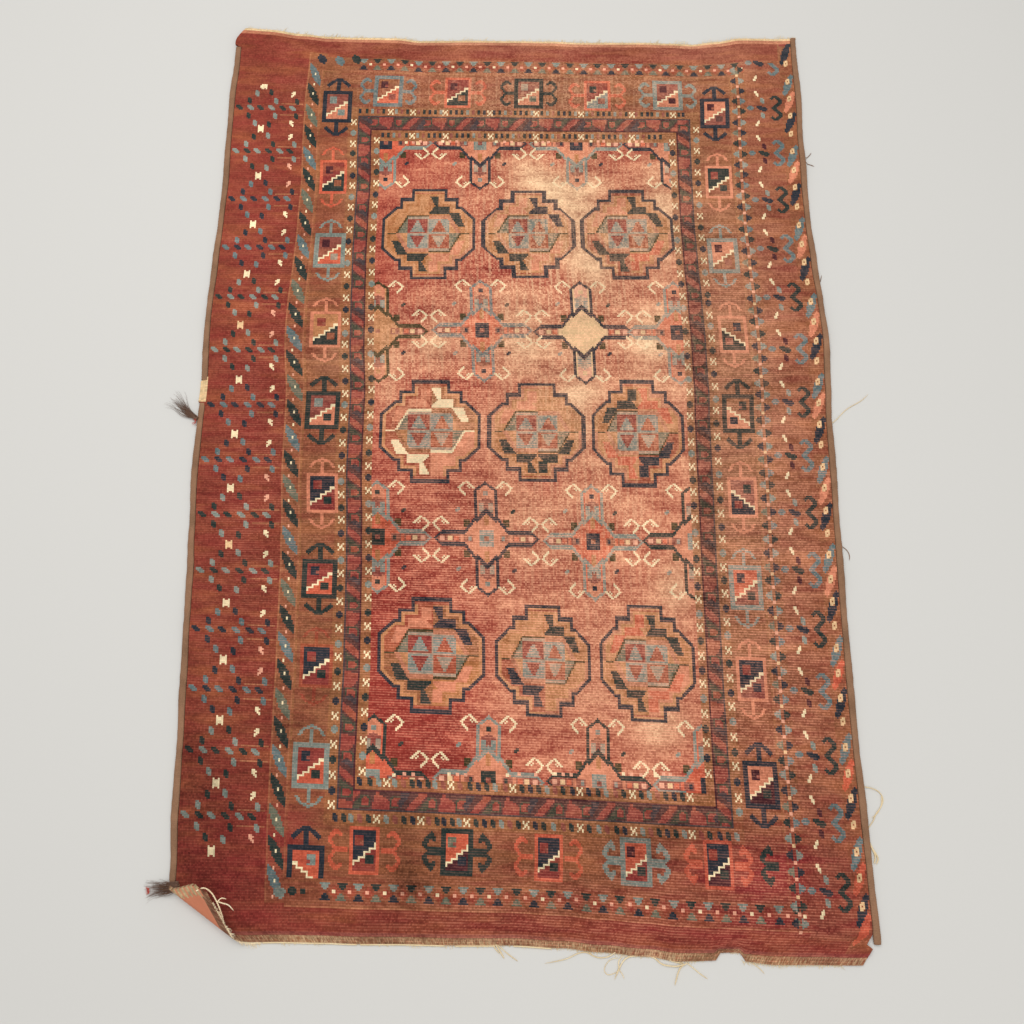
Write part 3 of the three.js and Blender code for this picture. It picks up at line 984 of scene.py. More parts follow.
def inCrossed(dx, dy, grow):
    ax, ay = abs(dx), abs(dy)
    tower = (ax < 20.5 + grow) & (ax * 0.75 + ay < 103 + grow)
    belly = 1.37 * ax + ay < 66 + 1.5 * grow
    arm = (ay < 13.5 + grow) & (ax + 0.9 * ay < 90 + grow)
    return tower | belly | arm


def crossedGul(x, y, outline, filling, heart):
    dx, dy = around(x, y)
    ax, ay = abs(dx), abs(dy)
    window = fieldMask & (ax < 100) & (ay < 110)
    paint("olive", window & (abs(ax - 34) < 4.5) & (abs(ay - 27) < 5.5))
    paint(outline, window & inCrossed(dx, dy, 0))
    inner = window & inCrossed(dx, dy, -6.2)
    plain = filling == "sand"
    paint(filling, inner)
    tower = inner & (ay + ax * 1.05 > 50)
    paint("mauve" if not plain else "grey", tower & (ax < 13) & (ay < 74 - ax * 0.6) & (ay > 44))
    paint("pink" if plain else "salmon", tower & (ay >= 74 - ax * 0.6) & (ax < 13))
    paint("blue" if heart != "blue" else "grey", tower & (abs(ax - 9) < 4) & (ay > 48) & (ay < 64))
    paint(outline, inner & (ax < 17) & (abs(ay + ax * 1.05 - 50) < 4.5))
    paint(heart, window & (ax < 3.2) & (abs(ay - 80) < 4))
    if not plain:
        paint("ochre", inner & (ax < 5) & (abs(ay - 33) < 9))
        paint("mauve", inner & (ay < 8) & (abs(ax - 30) < 8))
        paint(heart, window & (ay < 4) & (abs(ax - 28) < 3.2))
        paint(heart, inner & (ax < 13) & (ay < 13.5))
        paint("mauve", inner & (ax < 4.5) & (ay < 4.5))
    paint("mauve", inner & (ay < 8) & (ax > 44))
    for over, dye in ((50, "orange"), (63, "sand"), (76, "pink")):
        paint(dye, inner & (ay < 4) & (abs(ax - over) < 4))


fieldPoints = {  # small pale points along both ends of the field
    604: (-222, -208, -193, -150, -136, -122, -45, -30, -15, 30, 43, 56, 137, 150, 163, 213, 225, 237),
    -586: (-205, -190, -176, -118, -104, -90, -22, -5, 22, 53, 66, 80, 165, 178, 192, 215, 228, 241),
}


def paintField():
    for x, y, outline, filling, heart in crossedGuls:
        crossedGul(x, y, outline, filling, heart)
        for over, up in ((-31, 89), (31, 89), (-31, -86), (31, -86)):
            if abs(y + up) < 590 and abs(x + over - 15) < 270:
                stamp(hook, x, y, "cream", mirror=over < 0, flip=up < 0, over=over, up=up)
    for x, y, *rest in guls:
        mainGul(x, y, *rest)
        for over, up in ((-16, 172), (17, 172), (-16, -172), (17, -172)):
            if abs(y + up) < 590:
                stamp(hook, x, y, "cream", mirror=over > 0, flip=up > 0, over=over, up=up)
        flecks = ((-46, 150, "navy"), (46, 152, "blue"), (-46, -148, "green"), (46, -147, "blue"))
        for over, up, dye in flecks:
            if abs(y + up) < 580:
                stamp((".##", "###", "##."), x, y, dye, over=over, up=up)
    for y, places in fieldPoints.items():
        for k, x in enumerate(places):
            stamp(dot, x, y, "pink" if k % 3 else "cream")


def paintEnds():
    chart[:4] = dyeNumber["kilim"]
    chart[4:6] = dyeNumber["mauve"]
    chart[-2:] = dyeNumber["warp"]
    chart[-5:-2] = dyeNumber["worn"]
    bare = (columnIndex < 3) & (knotV > bareStretch["from"]) & (knotV < bareStretch["to"])
    paint("warp", bare)
    paint("sand", bare & ((rowIndex * 7 + columnIndex * 3) % 5 == 0))
    frayed = (knotV < -772) & (columnIndex < 3 + rowIndex * 5 % 3) & (rowIndex > 2)
    paint("worn", frayed)
    paint("warp", frayed & (rowIndex % 3 > 0))


paintGrounds()
paintMainBorder()
paintGuards()
paintHooks()
paintTriangles()
paintLeftPanel()
paintRightPanel()
paintLeafBands()
box = bands["field"]
fieldMask = (columnIndex >= columnAt(box["left"])) & (columnIndex < columnAt(box["right"]))
fieldMask &= (rowIndex >= rowAt(box["low"])) & (rowIndex < rowAt(box["high"]))
paintField()
paintEnds()
print("the weave is charted:", chart.shape)

# Where the wool has faded or worn, and where it is lighter or darker, as soft patches: 1 is most
fading = (  # x, y, half width, half length, amount
    (40, 60, 400, 900, 0.5),
    (400, 100, 150, 700, 0.42),
    (420, 800, 200, 50, 0.4),
    (-330, 520, 60, 160, 0.2),
    (220, -440, 120, 180, 0.2),
    (40, -420, 70, 100, 0.15),
    (-200, 450, 80, 90, 0.15),
    (-50, 325, 80, 40, -0.22),
    (-110, 90, 100, 50, -0.18),
    (36, -85, 50, 45, -0.3),
    (72, 574, 60, 40, -0.25),
    (-240, -165, 60, 130, -0.12),
    (230, 150, 60, 130, 0.15),
    (100, 470, 100, 120, 0.42),
    (20, 535, 70, 60, 0.25),
    (262, 450, 60, 140, 0.4),
    (140, 330, 70, 80, 0.35),
    (0, 180, 60, 90, 0.25),
    (250, 190, 70, 60, 0.3),
    (100, 60, 50, 110, 0.25),
    (262, -275, 45, 60, 0.3),
    (240, -520, 60, 60, 0.2),
    (10, -100, 60, 80, 0.12),
    (-155, 175, 40, 80, 0.25),
    (-255, 180, 40, 70, 0.3),
    (-240, 90, 35, 80, 0.2),
    (-350, 150, 60, 60, 0.35),
    (-220, -470, 170, 210, -0.32),
    (-180, -180, 150, 150, -0.08),
    (65, 300, 55, 60, -0.2),
    (70, 570, 45, 45, -0.12),
    (0, 720, 420, 90, 0.2),
    (60, -470, 200, 130, 0.12),
    (0, -720, 400, 80, -0.15),
    (0, 828, 620, 26, 0.4),
)
# lighter and darker patches that multiply the wool's colour: partly the wool's own tone, partly painted light
# and shade across the rug
shading = (
    (0, 820, 620, 22, 0.04),
    (-540, 656, 60, 60, 0.1),
    (-540, 492, 50, 60, 0.06),
    (-520, -600, 90, 170, -0.12),
    (-396, -530, 40, 90, -0.12),
    (-36, 410, 60, 30, -0.02),
    (-252, -246, 50, 90, -0.06),
    (324, -205, 30, 90, -0.05),
    (396, 82, 60, 40, -0.1),
    (-180, 164, 50, 40, -0.1),
    (470, 246, 50, 40, -0.1),
    (470, 164, 50, 40, 0.08),
    (-180, -656, 60, 40, -0.1),
    (252, -656, 50, 30, -0.1),
    (144, -738, 60, 30, -0.08),
    (-396, 82, 40, 40, -0.1),
    (324, 246, 22, 40, -0.1),
    (324, -205, 22, 70, -0.1),
    (-252, -164, 40, 90, -0.12),
    (36, -82, 40, 40, -0.12),
    (36, -410, 40, 40, 0.12),
    (-180, 410, 40, 40, 0.12),
    (-108, -410, 40, 40, 0.1),
    (-180, -574, 40, 40, -0.1),
    (-324, -656, 40, 30, -0.12),
    (-180, -738, 40, 40, -0.12),
    (396, -492, 50, 40, 0.1),
    (324, -738, 40, 40, 0.1),
    (-540, 570, 60, 90, 0.1),
    (-520, -760, 260, 260, -0.14),
    (-545, -640, 60, 220, -0.1),
    (-500, -300, 160, 500, -0.06),
    (-510, 480, 90, 260, 0.13),
    (-480, 790, 120, 80, 0.04),
    (-330, -800, 300, 60, -0.06),
    (-310, -798, 90, 26, 0.22),
    (0, -740, 600, 110, -0.1),
    (-180, -738, 50, 50, -0.22),
    (150, -680, 160, 70, -0.18),
    (370, -735, 60, 40, 0.14),
    (80, 800, 480, 60, 0.14),
    (430, 810, 120, 50, 0.12),
    (400, 520, 60, 220, 0.07),
    (-160, 500, 130, 120, 0.05),
    (-215, -170, 80, 130, -0.15),
    (60, -450, 260, 160, 0.05),
    (215, 200, 60, 80, 0.08),
    (210, -200, 60, 80, 0.08),
    (250, -574, 40, 40, 0.14),
    (470, -700, 200, 260, -0.08),
    (-350, 0, 70, 900, -0.04),
    (-303, 0, 16, 700, -0.04),
    (324, 0, 22, 600, -0.26),
)
ribbing = (  # where the pile is worn down to the rows of its ground
    (-120, -150, 260, 560, 0.8),
    (150, -450, 240, 300, 0.6),
    (100, -800, 460, 80, 0.45),
    (420, -300, 200, 700, 0.65),
    (-480, -100, 120, 800, 0.28),
    (200, 250, 300, 400, 0.45),
    (0, 750, 500, 120, 0.25),
)
streaking = (  # where the pale warps show through
    (60, 350, 260, 330, 1.0),
    (120, -150, 200, 300, 0.5),
    (-200, 120, 90, 160, 0.5),
    (0, 720, 400, 60, 0.4),
)
reddening = (  # where the borders and panels turn crimson
    (470, -760, 130, 130, 0.8),
    (385, -740, 70, 60, 0.8),
    (385, -520, 60, 60, 0.3),
    (280, -735, 120, 60, 0.7),
    (310, -690, 60, 30, 0.5),
    (260, -812, 260, 30, 0.7),
    (0, -760, 420, 50, 0.3),
    (-380, -690, 70, 120, 0.5),
    (-480, 60, 60, 500, 0.4),
    (-470, -720, 130, 120, 0.6),
    (-370, 600, 40, 40, 0.5),
    (-365, 440, 50, 50, 0.5),
    (480, 300, 40, 60, 0.5),
    (390, 280, 50, 50, 0.4),
    (-60, 740, 60, 60, 0.4),
    (-190, 740, 40, 60, 0.4),
)


def patches(rows, x, y):
    total = 0 * x
    for middleX, middleY, halfX, halfY, amount in rows:
        away = ((x - middleX) / halfX) ** 2 + ((y - middleY) / halfY) ** 2
        total = total + amount * np.exp(-1.4 * away)
    return total


woolLook = {  # what age and wear add to the dyes, in sRGB, and how the surface is
    "fieldStops": (  # from fresh to faded
        (0.0, (150, 52, 44)),
        (0.2, (172, 78, 62)),
        (0.4, (188, 110, 84)),
        (0.6, (206, 144, 110)),
        (0.8, (222, 178, 138)),
        (1.0, (236, 208, 164)),
    ),
    "rusty": (178, 104, 62),
    "crimson": (142, 46, 46),
    "paler": (214, 170, 132),
    "groundRows": (226, 152, 122),
    "warpStreaks": (232, 184, 144),
    "bareStrands": (234, 204, 158),
    "back": (224, 142, 106),
    "backShare": 0.7,
    "roughness": 0.95,
    "bump": 0.55,
    "bumpHeight": 0.0007,
}
codeBase = 32  # the dyes of three knots are one number to this base


def woolFinish(name, back=False):  # decodes the chart, three knots a side to each face
    wool = Finish(name)
    weave = wool.node("UVMap", {"uv_map": "weave"})
    u = wool.node("SeparateXYZ", {}, {0: weave}, 0)
    v = wool.node("SeparateXYZ", {}, {0: weave}, 1)
    inColumn, inRow = u.part() * 3, v.part() * 3
    codes = wool.attribute("knotRows", 1)
    first, second, third = (wool.node("SeparateXYZ", {}, {0: codes}, k) for k in range(3))
    code = first + (second - first) * (inRow > 1) + (third - second) * (inRow > 2)
    next1 = (code / codeBase + 0.01).floor()
    next2 = (next1 / codeBase + 0.01).floor()
    code = code + (next1 - code) * (inColumn > 1) + (next2 - next1) * (inColumn > 2)
    code = code - (code / codeBase + 0.01).floor() * codeBase
    palette = [(number / codeBase, colour) for number, colour in enumerate(dyes.values())]
    ramp = {"steps": "CONSTANT", "stops": palette}
    dyed = wool.node("ValToRGB", ramp, {0: (code + 0.5) / codeBase})
    knotPlace = wool.node("CombineXYZ", {}, {0: (u * 3).floor(), 1: (v * 3).floor()})
    speck = wool.node("TexWhiteNoise", {"noise_dimensions": "2D"}, {"Vector": knotPlace})
    broad = wool.noise(wool.scaled(weave, (0.06, 0.16, 1)), 1.0, 3.0)
    bars = wool.noise(wool.scaled(weave, (0.16, 0.8, 1)), 1.0, 2.0)
    streaks = wool.noise(wool.scaled(weave, (1.7, 0.1, 1)), 1.0, 2.0)
    mottle = wool.noise(weave, 0.5, 3.0)
    knotU, knotV = (u * 3).part(), (v * 3).part()
    ribs = abs(2 * (v * 1.95).part() - 1) ** 1.6
    lines = wool.noise(wool.scaled(weave, (0.24, 1.95, 1)), 1.0, 2.0)
    faded = wool.attribute("faded")
    fade = faded + (broad - 0.5) * 0.7 + (mottle - 0.5) * 0.25 + (bars - 0.5) * 0.22
    fade = fade + (speck - 0.5) * 0.14 + (lines - 0.5) * 0.16
    fieldDye = wool.node("ValToRGB", {"stops": woolLook["fieldStops"]}, {0: fade})
    isField = code < 0.5
    isPlain = code > len(dyes) - 2.5
    colour = wool.blend(isField, dyed, fieldDye)
    bright = wool.node("RGBToBW", {}, {0: dyed})
    wears = 0.12 + 0.22 * faded + 0.7 * bright.within(0.035, 0.16)  # dark wool keeps its colour
    wears = wears * (1 - isField)
    tint = wool.noise(wool.scaled(weave, (0.07, 0.34, 1)), 1.0, 2.0)
    warmth = wool.node("SeparateColor", {}, {0: dyed}, 0) - wool.node("SeparateColor", {}, {0: dyed}, 2)
    middling = warmth.within(0.09, 0.16) * (1 - bright.within(0.16, 0.3)) * (1 - isField)
    rusty = (tint * 0.7 + broad * 0.3 - 0.5).within(0, 0.16) * 0.42 * middling
    colour = wool.blend(rusty, colour, linear(woolLook["rusty"]))
    crimson = wool.attribute("reddened") + (0.52 - tint * 0.6 - bars * 0.4).within(0, 0.14) * 0.6
    colour = wool.blend(crimson * 0.62 * middling, colour, linear(woolLook["crimson"]))
    paler = (fade - 0.15).within(0, 0.9) * 0.44 * wears
    colour = wool.blend(paler, colour, linear(woolLook["paler"]))
    rubbed = wool.attribute("ribbed") + 0.04
    ribbed = rubbed * ribs * (lines + bars + speck * 0.3 - 0.9).within(0, 0.4)
    ribbed = ribbed * 1.1 * (0.3 + 0.7 * (wears + isField))
    colour = wool.blend(ribbed, colour, linear(woolLook["groundRows"]))
    streaky = wool.attribute("streaky") * (streaks + speck * 0.25 - 0.5).within(0.06, 0.3)
    colour = wool.blend(streaky * 0.65 * (wears + isField), colour, linear(woolLook["warpStreaks"]))
    strands = wool.noise(wool.scaled(weave, (5, 0.9, 1)), 1.0, 3.0)
    bare = isPlain * (strands + broad * 0.6 - 0.72).within(0, 0.3)
    colour = wool.blend(bare * 0.6, colour, linear(woolLook["bareStrands"]))
    # the knots' brightness: random tone, plus the shading patches, which are partly painted light and shade
    light = 0.96 + isField * 0.03 + wool.attribute("shade") + (speck - 0.5) * 0.3 + (broad - 0.5) * 0.8
    light = light + 0.05 * rubbed - 0.2 * rubbed * (1 - ribs)
    light = light + (mottle - 0.5) * 0.45 + (bars - 0.5) * 0.4 + (lines - 0.5) * 0.2
    # painted shade: each knot is darker towards its edges, a shade painted into the gaps between knots; the
    # same dome also shapes the bump below
    dome = (knotU * (1 - knotU) * 4) ** 0.35 * (knotV * (1 - knotV) * 4) ** 0.35
    light = light * (0.8 + 0.2 * dome)
    grey = wool.node("CombineColor", {}, {0: light, 1: light, 2: light})
    colour = wool.blend(1.0, colour, grey, "MULTIPLY")
    if back:
        colour = wool.blend(woolLook["backShare"] * (1 - isPlain), colour, linear(woolLook["back"]))
    fibre = wool.noise(wool.scaled(weave, (26, 9, 1)), 1.0, 2.0)
    relief = dome * 0.7 + fibre * 0.5 + mottle * 0.8
    inputs = {"Strength": woolLook["bump"], "Distance": woolLook["bumpHeight"], "Height": relief}
    normal = wool.node("Bump", {}, inputs)
    surface = {"Base Color": colour, "Roughness": woolLook["roughness"], "Normal": normal}
    surface |= {"Specular IOR Level": 0.08, "Sheen Weight": 0.05}
    return wool.finished(wool.node("BsdfPrincipled", {}, surface))


def linkPiece(name, mesh, finish, slot, *replaced):
    piece = bpy.data.objects.new(name, mesh)
    bpy.context.scene.collection.objects.link(piece)
    if not mesh.materials:
        mesh.materials.append(finish)
    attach(piece, "root")
    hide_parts(*replaced)
    return piece


def verticesOf(mesh):
    flat = np.empty(len(mesh.vertices) * 3)
    mesh.vertices.foreach_get("co", flat)
    return flat.reshape(-1, 3)


def moveVertices(mesh, places):
    mesh.vertices.foreach_set("co", places.astype(np.float32).ravel())
    mesh.update()


def buildSheet():
    bm = bmesh.new()
    bmesh.ops.create_grid(bm, x_segments=cells[0], y_segments=cells[1], size=0.5)
    foldEdges = [e for e in bm.edges if all(v.co.x < -0.36 and v.co.y < -0.43 for v in e.verts)]
    bmesh.ops.subdivide_edges(bm, edges=foldEdges, cuts=1, use_grid_fill=True)
    under = bm.faces[:]
    made = bmesh.ops.extrude_face_region(bm, geom=under, use_keep_orig=True)
    top = [part for part in made["geom"] if isinstance(part, bmesh.types.BMVert)]
    bmesh.ops.translate(bm, vec=(0, 0, 1), verts=top)
    bmesh.ops.recalc_face_normals(bm, faces=bm.faces)
    mesh = bpy.data.meshes.new("rugSheet")
    bm.to_mesh(mesh)
    bm.free()
    flat = verticesOf(mesh)
    columns, rows = (flat[:, 0] + 0.5) * cells[0], (flat[:, 1] + 0.5) * cells[1]
    centres = np.empty(len(mesh.polygons) * 3)
    mesh.polygons.foreach_get("center", centres)
    centres = centres.reshape(-1, 3)
    cellColumn = np.clip(np.floor((centres[:, 0] + 0.5) * cells[0]).astype(int), 0, cells[0] - 1)
    cellRow = np.clip(np.floor((centres[:, 1] + 0.5) * cells[1]).astype(int), 0, cells[1] - 1)
    packed = np.zeros((len(centres), 3))
    for line in range(3):  # three knots of a row in one number
        for over in range(3):
            packed[:, line] += chart[cellRow * 3 + line, cellColumn * 3 + over] * codeBase**over
    attribute = mesh.attributes.new("knotRows", "FLOAT_VECTOR", "FACE")
    attribute.data.foreach_set("vector", packed.astype(np.float32).ravel())
    corners = np.empty(len(mesh.loops), np.int32)
    mesh.loops.foreach_get("vertex_index", corners)
    weave = mesh.uv_layers.new(name="weave")
    weave.data.foreach_set("uv", np.stack([columns, rows], 1)[corners].astype(np.float32).ravel())
    sizes = np.empty(len(mesh.polygons), np.int32)
    mesh.polygons.foreach_get("loop_total", sizes)
    isUnder = centres[:, 2] < 0.25
    ofUnder = np.repeat(isUnder, sizes)
    baked = (flat[:, :2] + 0.5)[corners]
    baked[:, 0] = np.where(ofUnder, 0.67 + baked[:, 0] * 0.32, baked[:, 0] * 0.65)
    bakeMap = mesh.uv_layers.new(name="OFBake")
    bakeMap.data.foreach_set("uv", baked.astype(np.float32).ravel())
    mesh.polygons.foreach_set("material_index", isUnder.astype(np.int32))
    u, v = weaveAt(columns, rows)
    x, y = spread(u, v)
    maps = {"faded": fading, "shade": shading, "ribbed": ribbing, "streaky": streaking, "reddened": reddening}
    for name, rows in maps.items():
        values = patches(rows, x, y).astype(np.float32)
        mesh.attributes.new(name, "FLOAT", "POINT").data.foreach_set("value", values)
    halfLength = sheetSize["halfLength"]
    fromPlain = np.minimum(v + halfLength - sheetSize["nearPlain"], halfLength - sheetSize["farPlain"] - v)
    knotted = ease(fromPlain / sheetSize["pileStep"] + 1)
    thick = sheetSize["plainWeave"] + (sheetSize["pile"] - sheetSize["plainWeave"]) * knotted
    bare = (u < -sheetSize["halfPile"] - 1) & (v > bareStretch["from"]) & (v < bareStretch["to"])
    thick = np.where(bare, sheetSize["plainWeave"], thick)
    relief = sheetSize["relief"] * (0.6 * waves(x, y, 34) + 0.4 * waves(y, x, 11))
    isTop = flat[:, 2] > 0.5
    z = np.where(isTop, thick + relief * (thick > 3), 0)
    moveVertices(mesh, lay(x, y, z))
    mesh.polygons.foreach_set("use_smooth", np.ones(len(mesh.polygons), bool))
    mesh.set_sharp_from_angle(angle=radians(50))
    mesh.materials.append(woolFinish("woolPile"))
    mesh.materials.append(woolFinish("woolBack", back=True))
    piece = linkPiece("rugSheet", mesh, None, "pile", "rug_body")
    print("the sheet has", len(mesh.polygons), "faces")
    return piece


rugSheet = buildSheet()


# Overcast bindings: a yarn wound round each long side
wrapping = {"pitch": 3.3, "stepsPerWrap": 4, "around": 14, "wobble": 0.8, "ridge": 0.3, "endGap": 1}


def woolYarnFinish(name, dark, pale, roughness=0.9):
    yarn = Finish(name)
    place = yarn.node("TexCoord", {}, {}, 3)
    broad = yarn.noise(place, 26.0, 3.0)
    streak = yarn.noise(yarn.scaled(place, (420, 1500, 420)), 1.0, 2.0)
    hair = yarn.noise(place, 900.0, 2.0)
    colour = yarn.blend((broad - 0.5) * 1.1 + streak * 0.6 + 0.15, linear(dark), linear(pale))
    colour = yarn.blend((hair - 0.52).within(0, 0.25) * 0.35, colour, linear((196, 160, 120)))
    normal = yarn.node("Bump", {}, {"Strength": 0.6, "Distance": 0.0005, "Height": streak + hair})
    surface = {"Base Color": colour, "Roughness": roughness, "Normal": normal, "Specular IOR Level": 0.15}
    return yarn.finished(yarn.node("BsdfPrincipled", {}, surface))


def tubeMesh(name, count, around):
    bm = bmesh.new()
    bmesh.ops.create_grid(bm, x_segments=around, y_segments=count, size=0.5)
    mesh = bpy.data.meshes.new(name)
    bm.to_mesh(mesh)
    bm.free()
    return mesh


def closeTube(mesh):
    bm = bmesh.new()
    bm.from_mesh(mesh)
    bmesh.ops.remove_doubles(bm, verts=bm.verts, dist=0.00001)
    bmesh.ops.holes_fill(bm, edges=bm.edges, sides=0)
    bmesh.ops.recalc_face_normals(bm, faces=bm.faces)
    bm.to_mesh(mesh)
    bm.free()
    mesh.polygons.foreach_set("use_smooth", np.ones(len(mesh.polygons), bool))


def bindingMesh(row):
    side = row["side"]
    count = int((row["to"] - row["from"]) / wrapping["pitch"] * wrapping["stepsPerWrap"])
    mesh = tubeMesh(row["name"], count, wrapping["around"])
    flat = verticesOf(mesh) + 0.5
    turn = 2 * pi * (flat[:, 0] + 0.5 / wrapping["around"])
    v = row["from"] + (row["to"] - row["from"]) * flat[:, 1]
    edge = sideAt(side, v)
    isEnd = abs(flat[:, 1] - 0.5) > 0.4999
    y = v + endShift(edge, v) + np.where(flat[:, 1] < 0.5, 1, -1) * wrapping["endGap"] * isEnd
    width = sheetSize["bindingWidth"] - wrapping["wobble"] * (1 + np.sin(v / 31))
    turns = (v - row["from"]) / wrapping["pitch"] + 0.35 * np.sin(turn)
    ridge = 1 - wrapping["ridge"] * 0.5 * (1 - np.abs(np.sin(pi * turns))) - 0.05 * (1 + waves(v, v * 1.7, 9))
    ridge = ridge * np.where(abs(flat[:, 1] - 0.5) > 0.4995, 0.7, 1)
    across, over = np.cos(turn), np.sin(turn)
    across = np.sign(across) * np.abs(across) ** 0.75 * ridge
    over = np.sign(over) * np.abs(over) ** 0.8 * ridge
    middle = edge - side * (sheetSize["bindingWidth"] - width / 2)
    x = middle + across * width / 2
    z = sheetSize["bindingHeight"] / 2 * (1 + over)
    moveVertices(mesh, lay(x, y, np.maximum(z, 0.05)))
    closeTube(mesh)
    return mesh


# Loose yarns of each piece, by root, heading and turn in degrees, or by the places they pass through
looseYarns = {
    "fringe_near": (
        {"path": ((-42, -839), (-36, -848), (-29, -859)), "radius": 1.3},
        {"path": ((-40, -839), (-24, -852), (-8, -863)), "radius": 0.8},
        {"path": ((-46, -840), (-42, -846), (-36, -852)), "radius": 0.9},
        {
            "path": ((142, -850), (132, -856), (120, -858), (110, -856), (100, -851), (94, -850))
            + ((84, -852), (68, -859), (51, -863), (33, -866)),
            "radius": 0.9,
        },
        {
            "path": ((146, -858), (136, -860), (128, -867), (125, -876))
            + ((130, -882), (140, -880), (150, -874)),
            "radius": 0.6,
        },
        {
            "path": ((247, -867), (236, -870), (222, -869), (212, -866), (202, -858), (190, -855))
            + ((174, -855), (162, -857), (154, -863), (148, -872), (144, -880), (140, -889)),
            "radius": 1.2,
        },
        {"path": ((152, -856), (147, -864), (147, -874), (142, -885)), "radius": 0.9},
        {"path": ((146, -874), (152, -881), (155, -888)), "radius": 0.6},
        {"path": ((226, -861), (234, -864), (246, -866)), "radius": 1.0},
        {"path": ((251, -866), (243, -871), (238, -879), (235, -888), (232, -897)), "radius": 1.1},
        {"path": ((253, -866), (262, -873), (272, -881), (283, -888)), "radius": 0.8},
    ),
    "fringe_near_right": ({"x": 352, "y": -866, "heading": -25, "length": 24, "turn": -30},),
    "fringe_flap": (
        {
            "flap": ((-512, -761), (-500, -757), (-488, -764), (-478, -778), (-470, -794), (-464, -810)),
            "height": (40, 38, 36, 32, 26, 18),
            "radius": 1.3,
        },
        {"flap": ((-478, -778), (-472, -772), (-464, -773)), "height": (33, 34, 33), "radius": 1.0},
        {
            "flap": ((-480, -776), (-470, -779), (-460, -782), (-451, -790)),
            "height": (33, 33, 31, 28),
            "radius": 1.1,
        },
    ),
    "selvedge_right": (
        {"x": 553, "y": 22, "heading": 36, "length": 90, "turn": 4, "wave": 10, "cream": True},
        {"x": 550, "y": 292, "heading": 60, "length": 26, "turn": 20},
        {"x": 549, "y": -205, "heading": -20, "length": 30, "turn": -95},
        {
            "path": ((546, -603), (562, -606), (573, -612), (578, -622), (574, -634), (565, -645))
            + ((559, -656), (552, -665), (545, -674)),
            "cream": True,
            "radius": 0.9,
        },
        {"path": ((576, -618), (575, -630), (568, -643), (557, -652)), "cream": True, "radius": 0.8},
        {"path": ((550, -690), (554, -700), (557, -710), (554, -721)), "cream": True, "radius": 1.4},
        {"path": ((551, -694), (558, -705), (561, -714), (557, -722)), "cream": True, "radius": 1.2},
        {"x": 548, "y": 566, "heading": 35, "length": 20, "turn": 25},
        {"x": 548, "y": 556, "heading": -12, "length": 18, "turn": -20},
    ),
}
tufts = {  # bunches of loose wool at the left side, a column each
    "x": (-576, -578, -537, -584),
    "y": (28, 24, -753, -760),
    "wide": (3, 4, 7, 4),  # how wide and high it is at its root
    "high": (3, 3, 9, 3),
    "heading": (140, 175, 188, 190),
    "fan": (10, 30, 7, 40),
    "length": (72, 10, 58, 9),
    "count": (90, 26, 130, 30),
    "slot": (2, 3, 2, 3),
}


def alongPath(points, count):  # a smooth line through given places
    points = np.array([points[0], *points, points[-1]], float)
    at = np.linspace(0, len(points) - 3.0001, count)
    k = at.astype(int)
    t = (at - k)[:, None]
    a, b, c, d = (points[k + n] for n in range(4))
    return b + (c - a) * t / 2 + (2 * a - 5 * b + 4 * c - d) * t**2 / 2 + (3 * b - 3 * c + d - a) * t**3 / 2


def headingPath(row, count):
    share = np.linspace(0, 1, count)
    wave = row.get("wave", 0) * np.sin(2 * pi * row.get("waves", 1.2) * share)
    angle = np.radians(row["heading"] + row.get("turn", 0) * share + wave)
    stride = row["length"] / (count - 1)
    x = row["x"] + np.concatenate([[0], np.cumsum(np.cos(angle[:-1]))]) * stride
    y = row["y"] + np.concatenate([[0], np.cumsum(np.sin(angle[:-1]))]) * stride
    return np.stack([x, y], 1)


def yarnStrands(row):  # two plies twisted together, from the cloth down to the floor
    places = row.get("path") or row.get("flap")
    length = row.get("length") or np.sum(np.hypot(*np.diff(np.array(places), axis=0).T))
    count = ceil(length / 1.1) + 2
    path = alongPath(places, count) if places else headingPath(row, count)
    radius = row.get("radius", 0.7)
    share = np.linspace(0, 1, count)
    step = np.gradient(path, axis=0)
    aside = np.stack([-step[:, 1], step[:, 0]], 1) / np.hypot(*step.T)[:, None]
    if "flap" in row:  # measured on the raised corner, and drawn where the camera sees it
        ground = np.interp(share, np.linspace(0, 1, len(row["height"])), row["height"])
    else:
        ground = (1.2 + riseAt(path[:, 0], path[:, 1])) * np.clip(1 - 4 * share, 0, 1)
    strands = []
    for ply in (0, 1):
        twist = share * length / 5.5 * 2 * pi + pi * ply
        off = np.sin(twist) * radius * 0.52
        z = radius * 1.1 + ground + np.cos(twist) * radius * 0.5
        x, y = path[:, 0] + aside[:, 0] * off, path[:, 1] + aside[:, 1] * off
        thin = radius * 0.6 * np.clip(1.1 - share**6, 0.1, 1)
        if "flap" in row:
            nearer = z / (camera["place"][2] / mm)
            x = x + (camera["place"][0] / mm - x) * nearer
            y = y + (camera["place"][1] / mm - y) * nearer
            strands.append((np.stack([x, y, z], -1) * mm, thin))
        else:
            strands.append((bend(x, y, z), thin))
    return strands


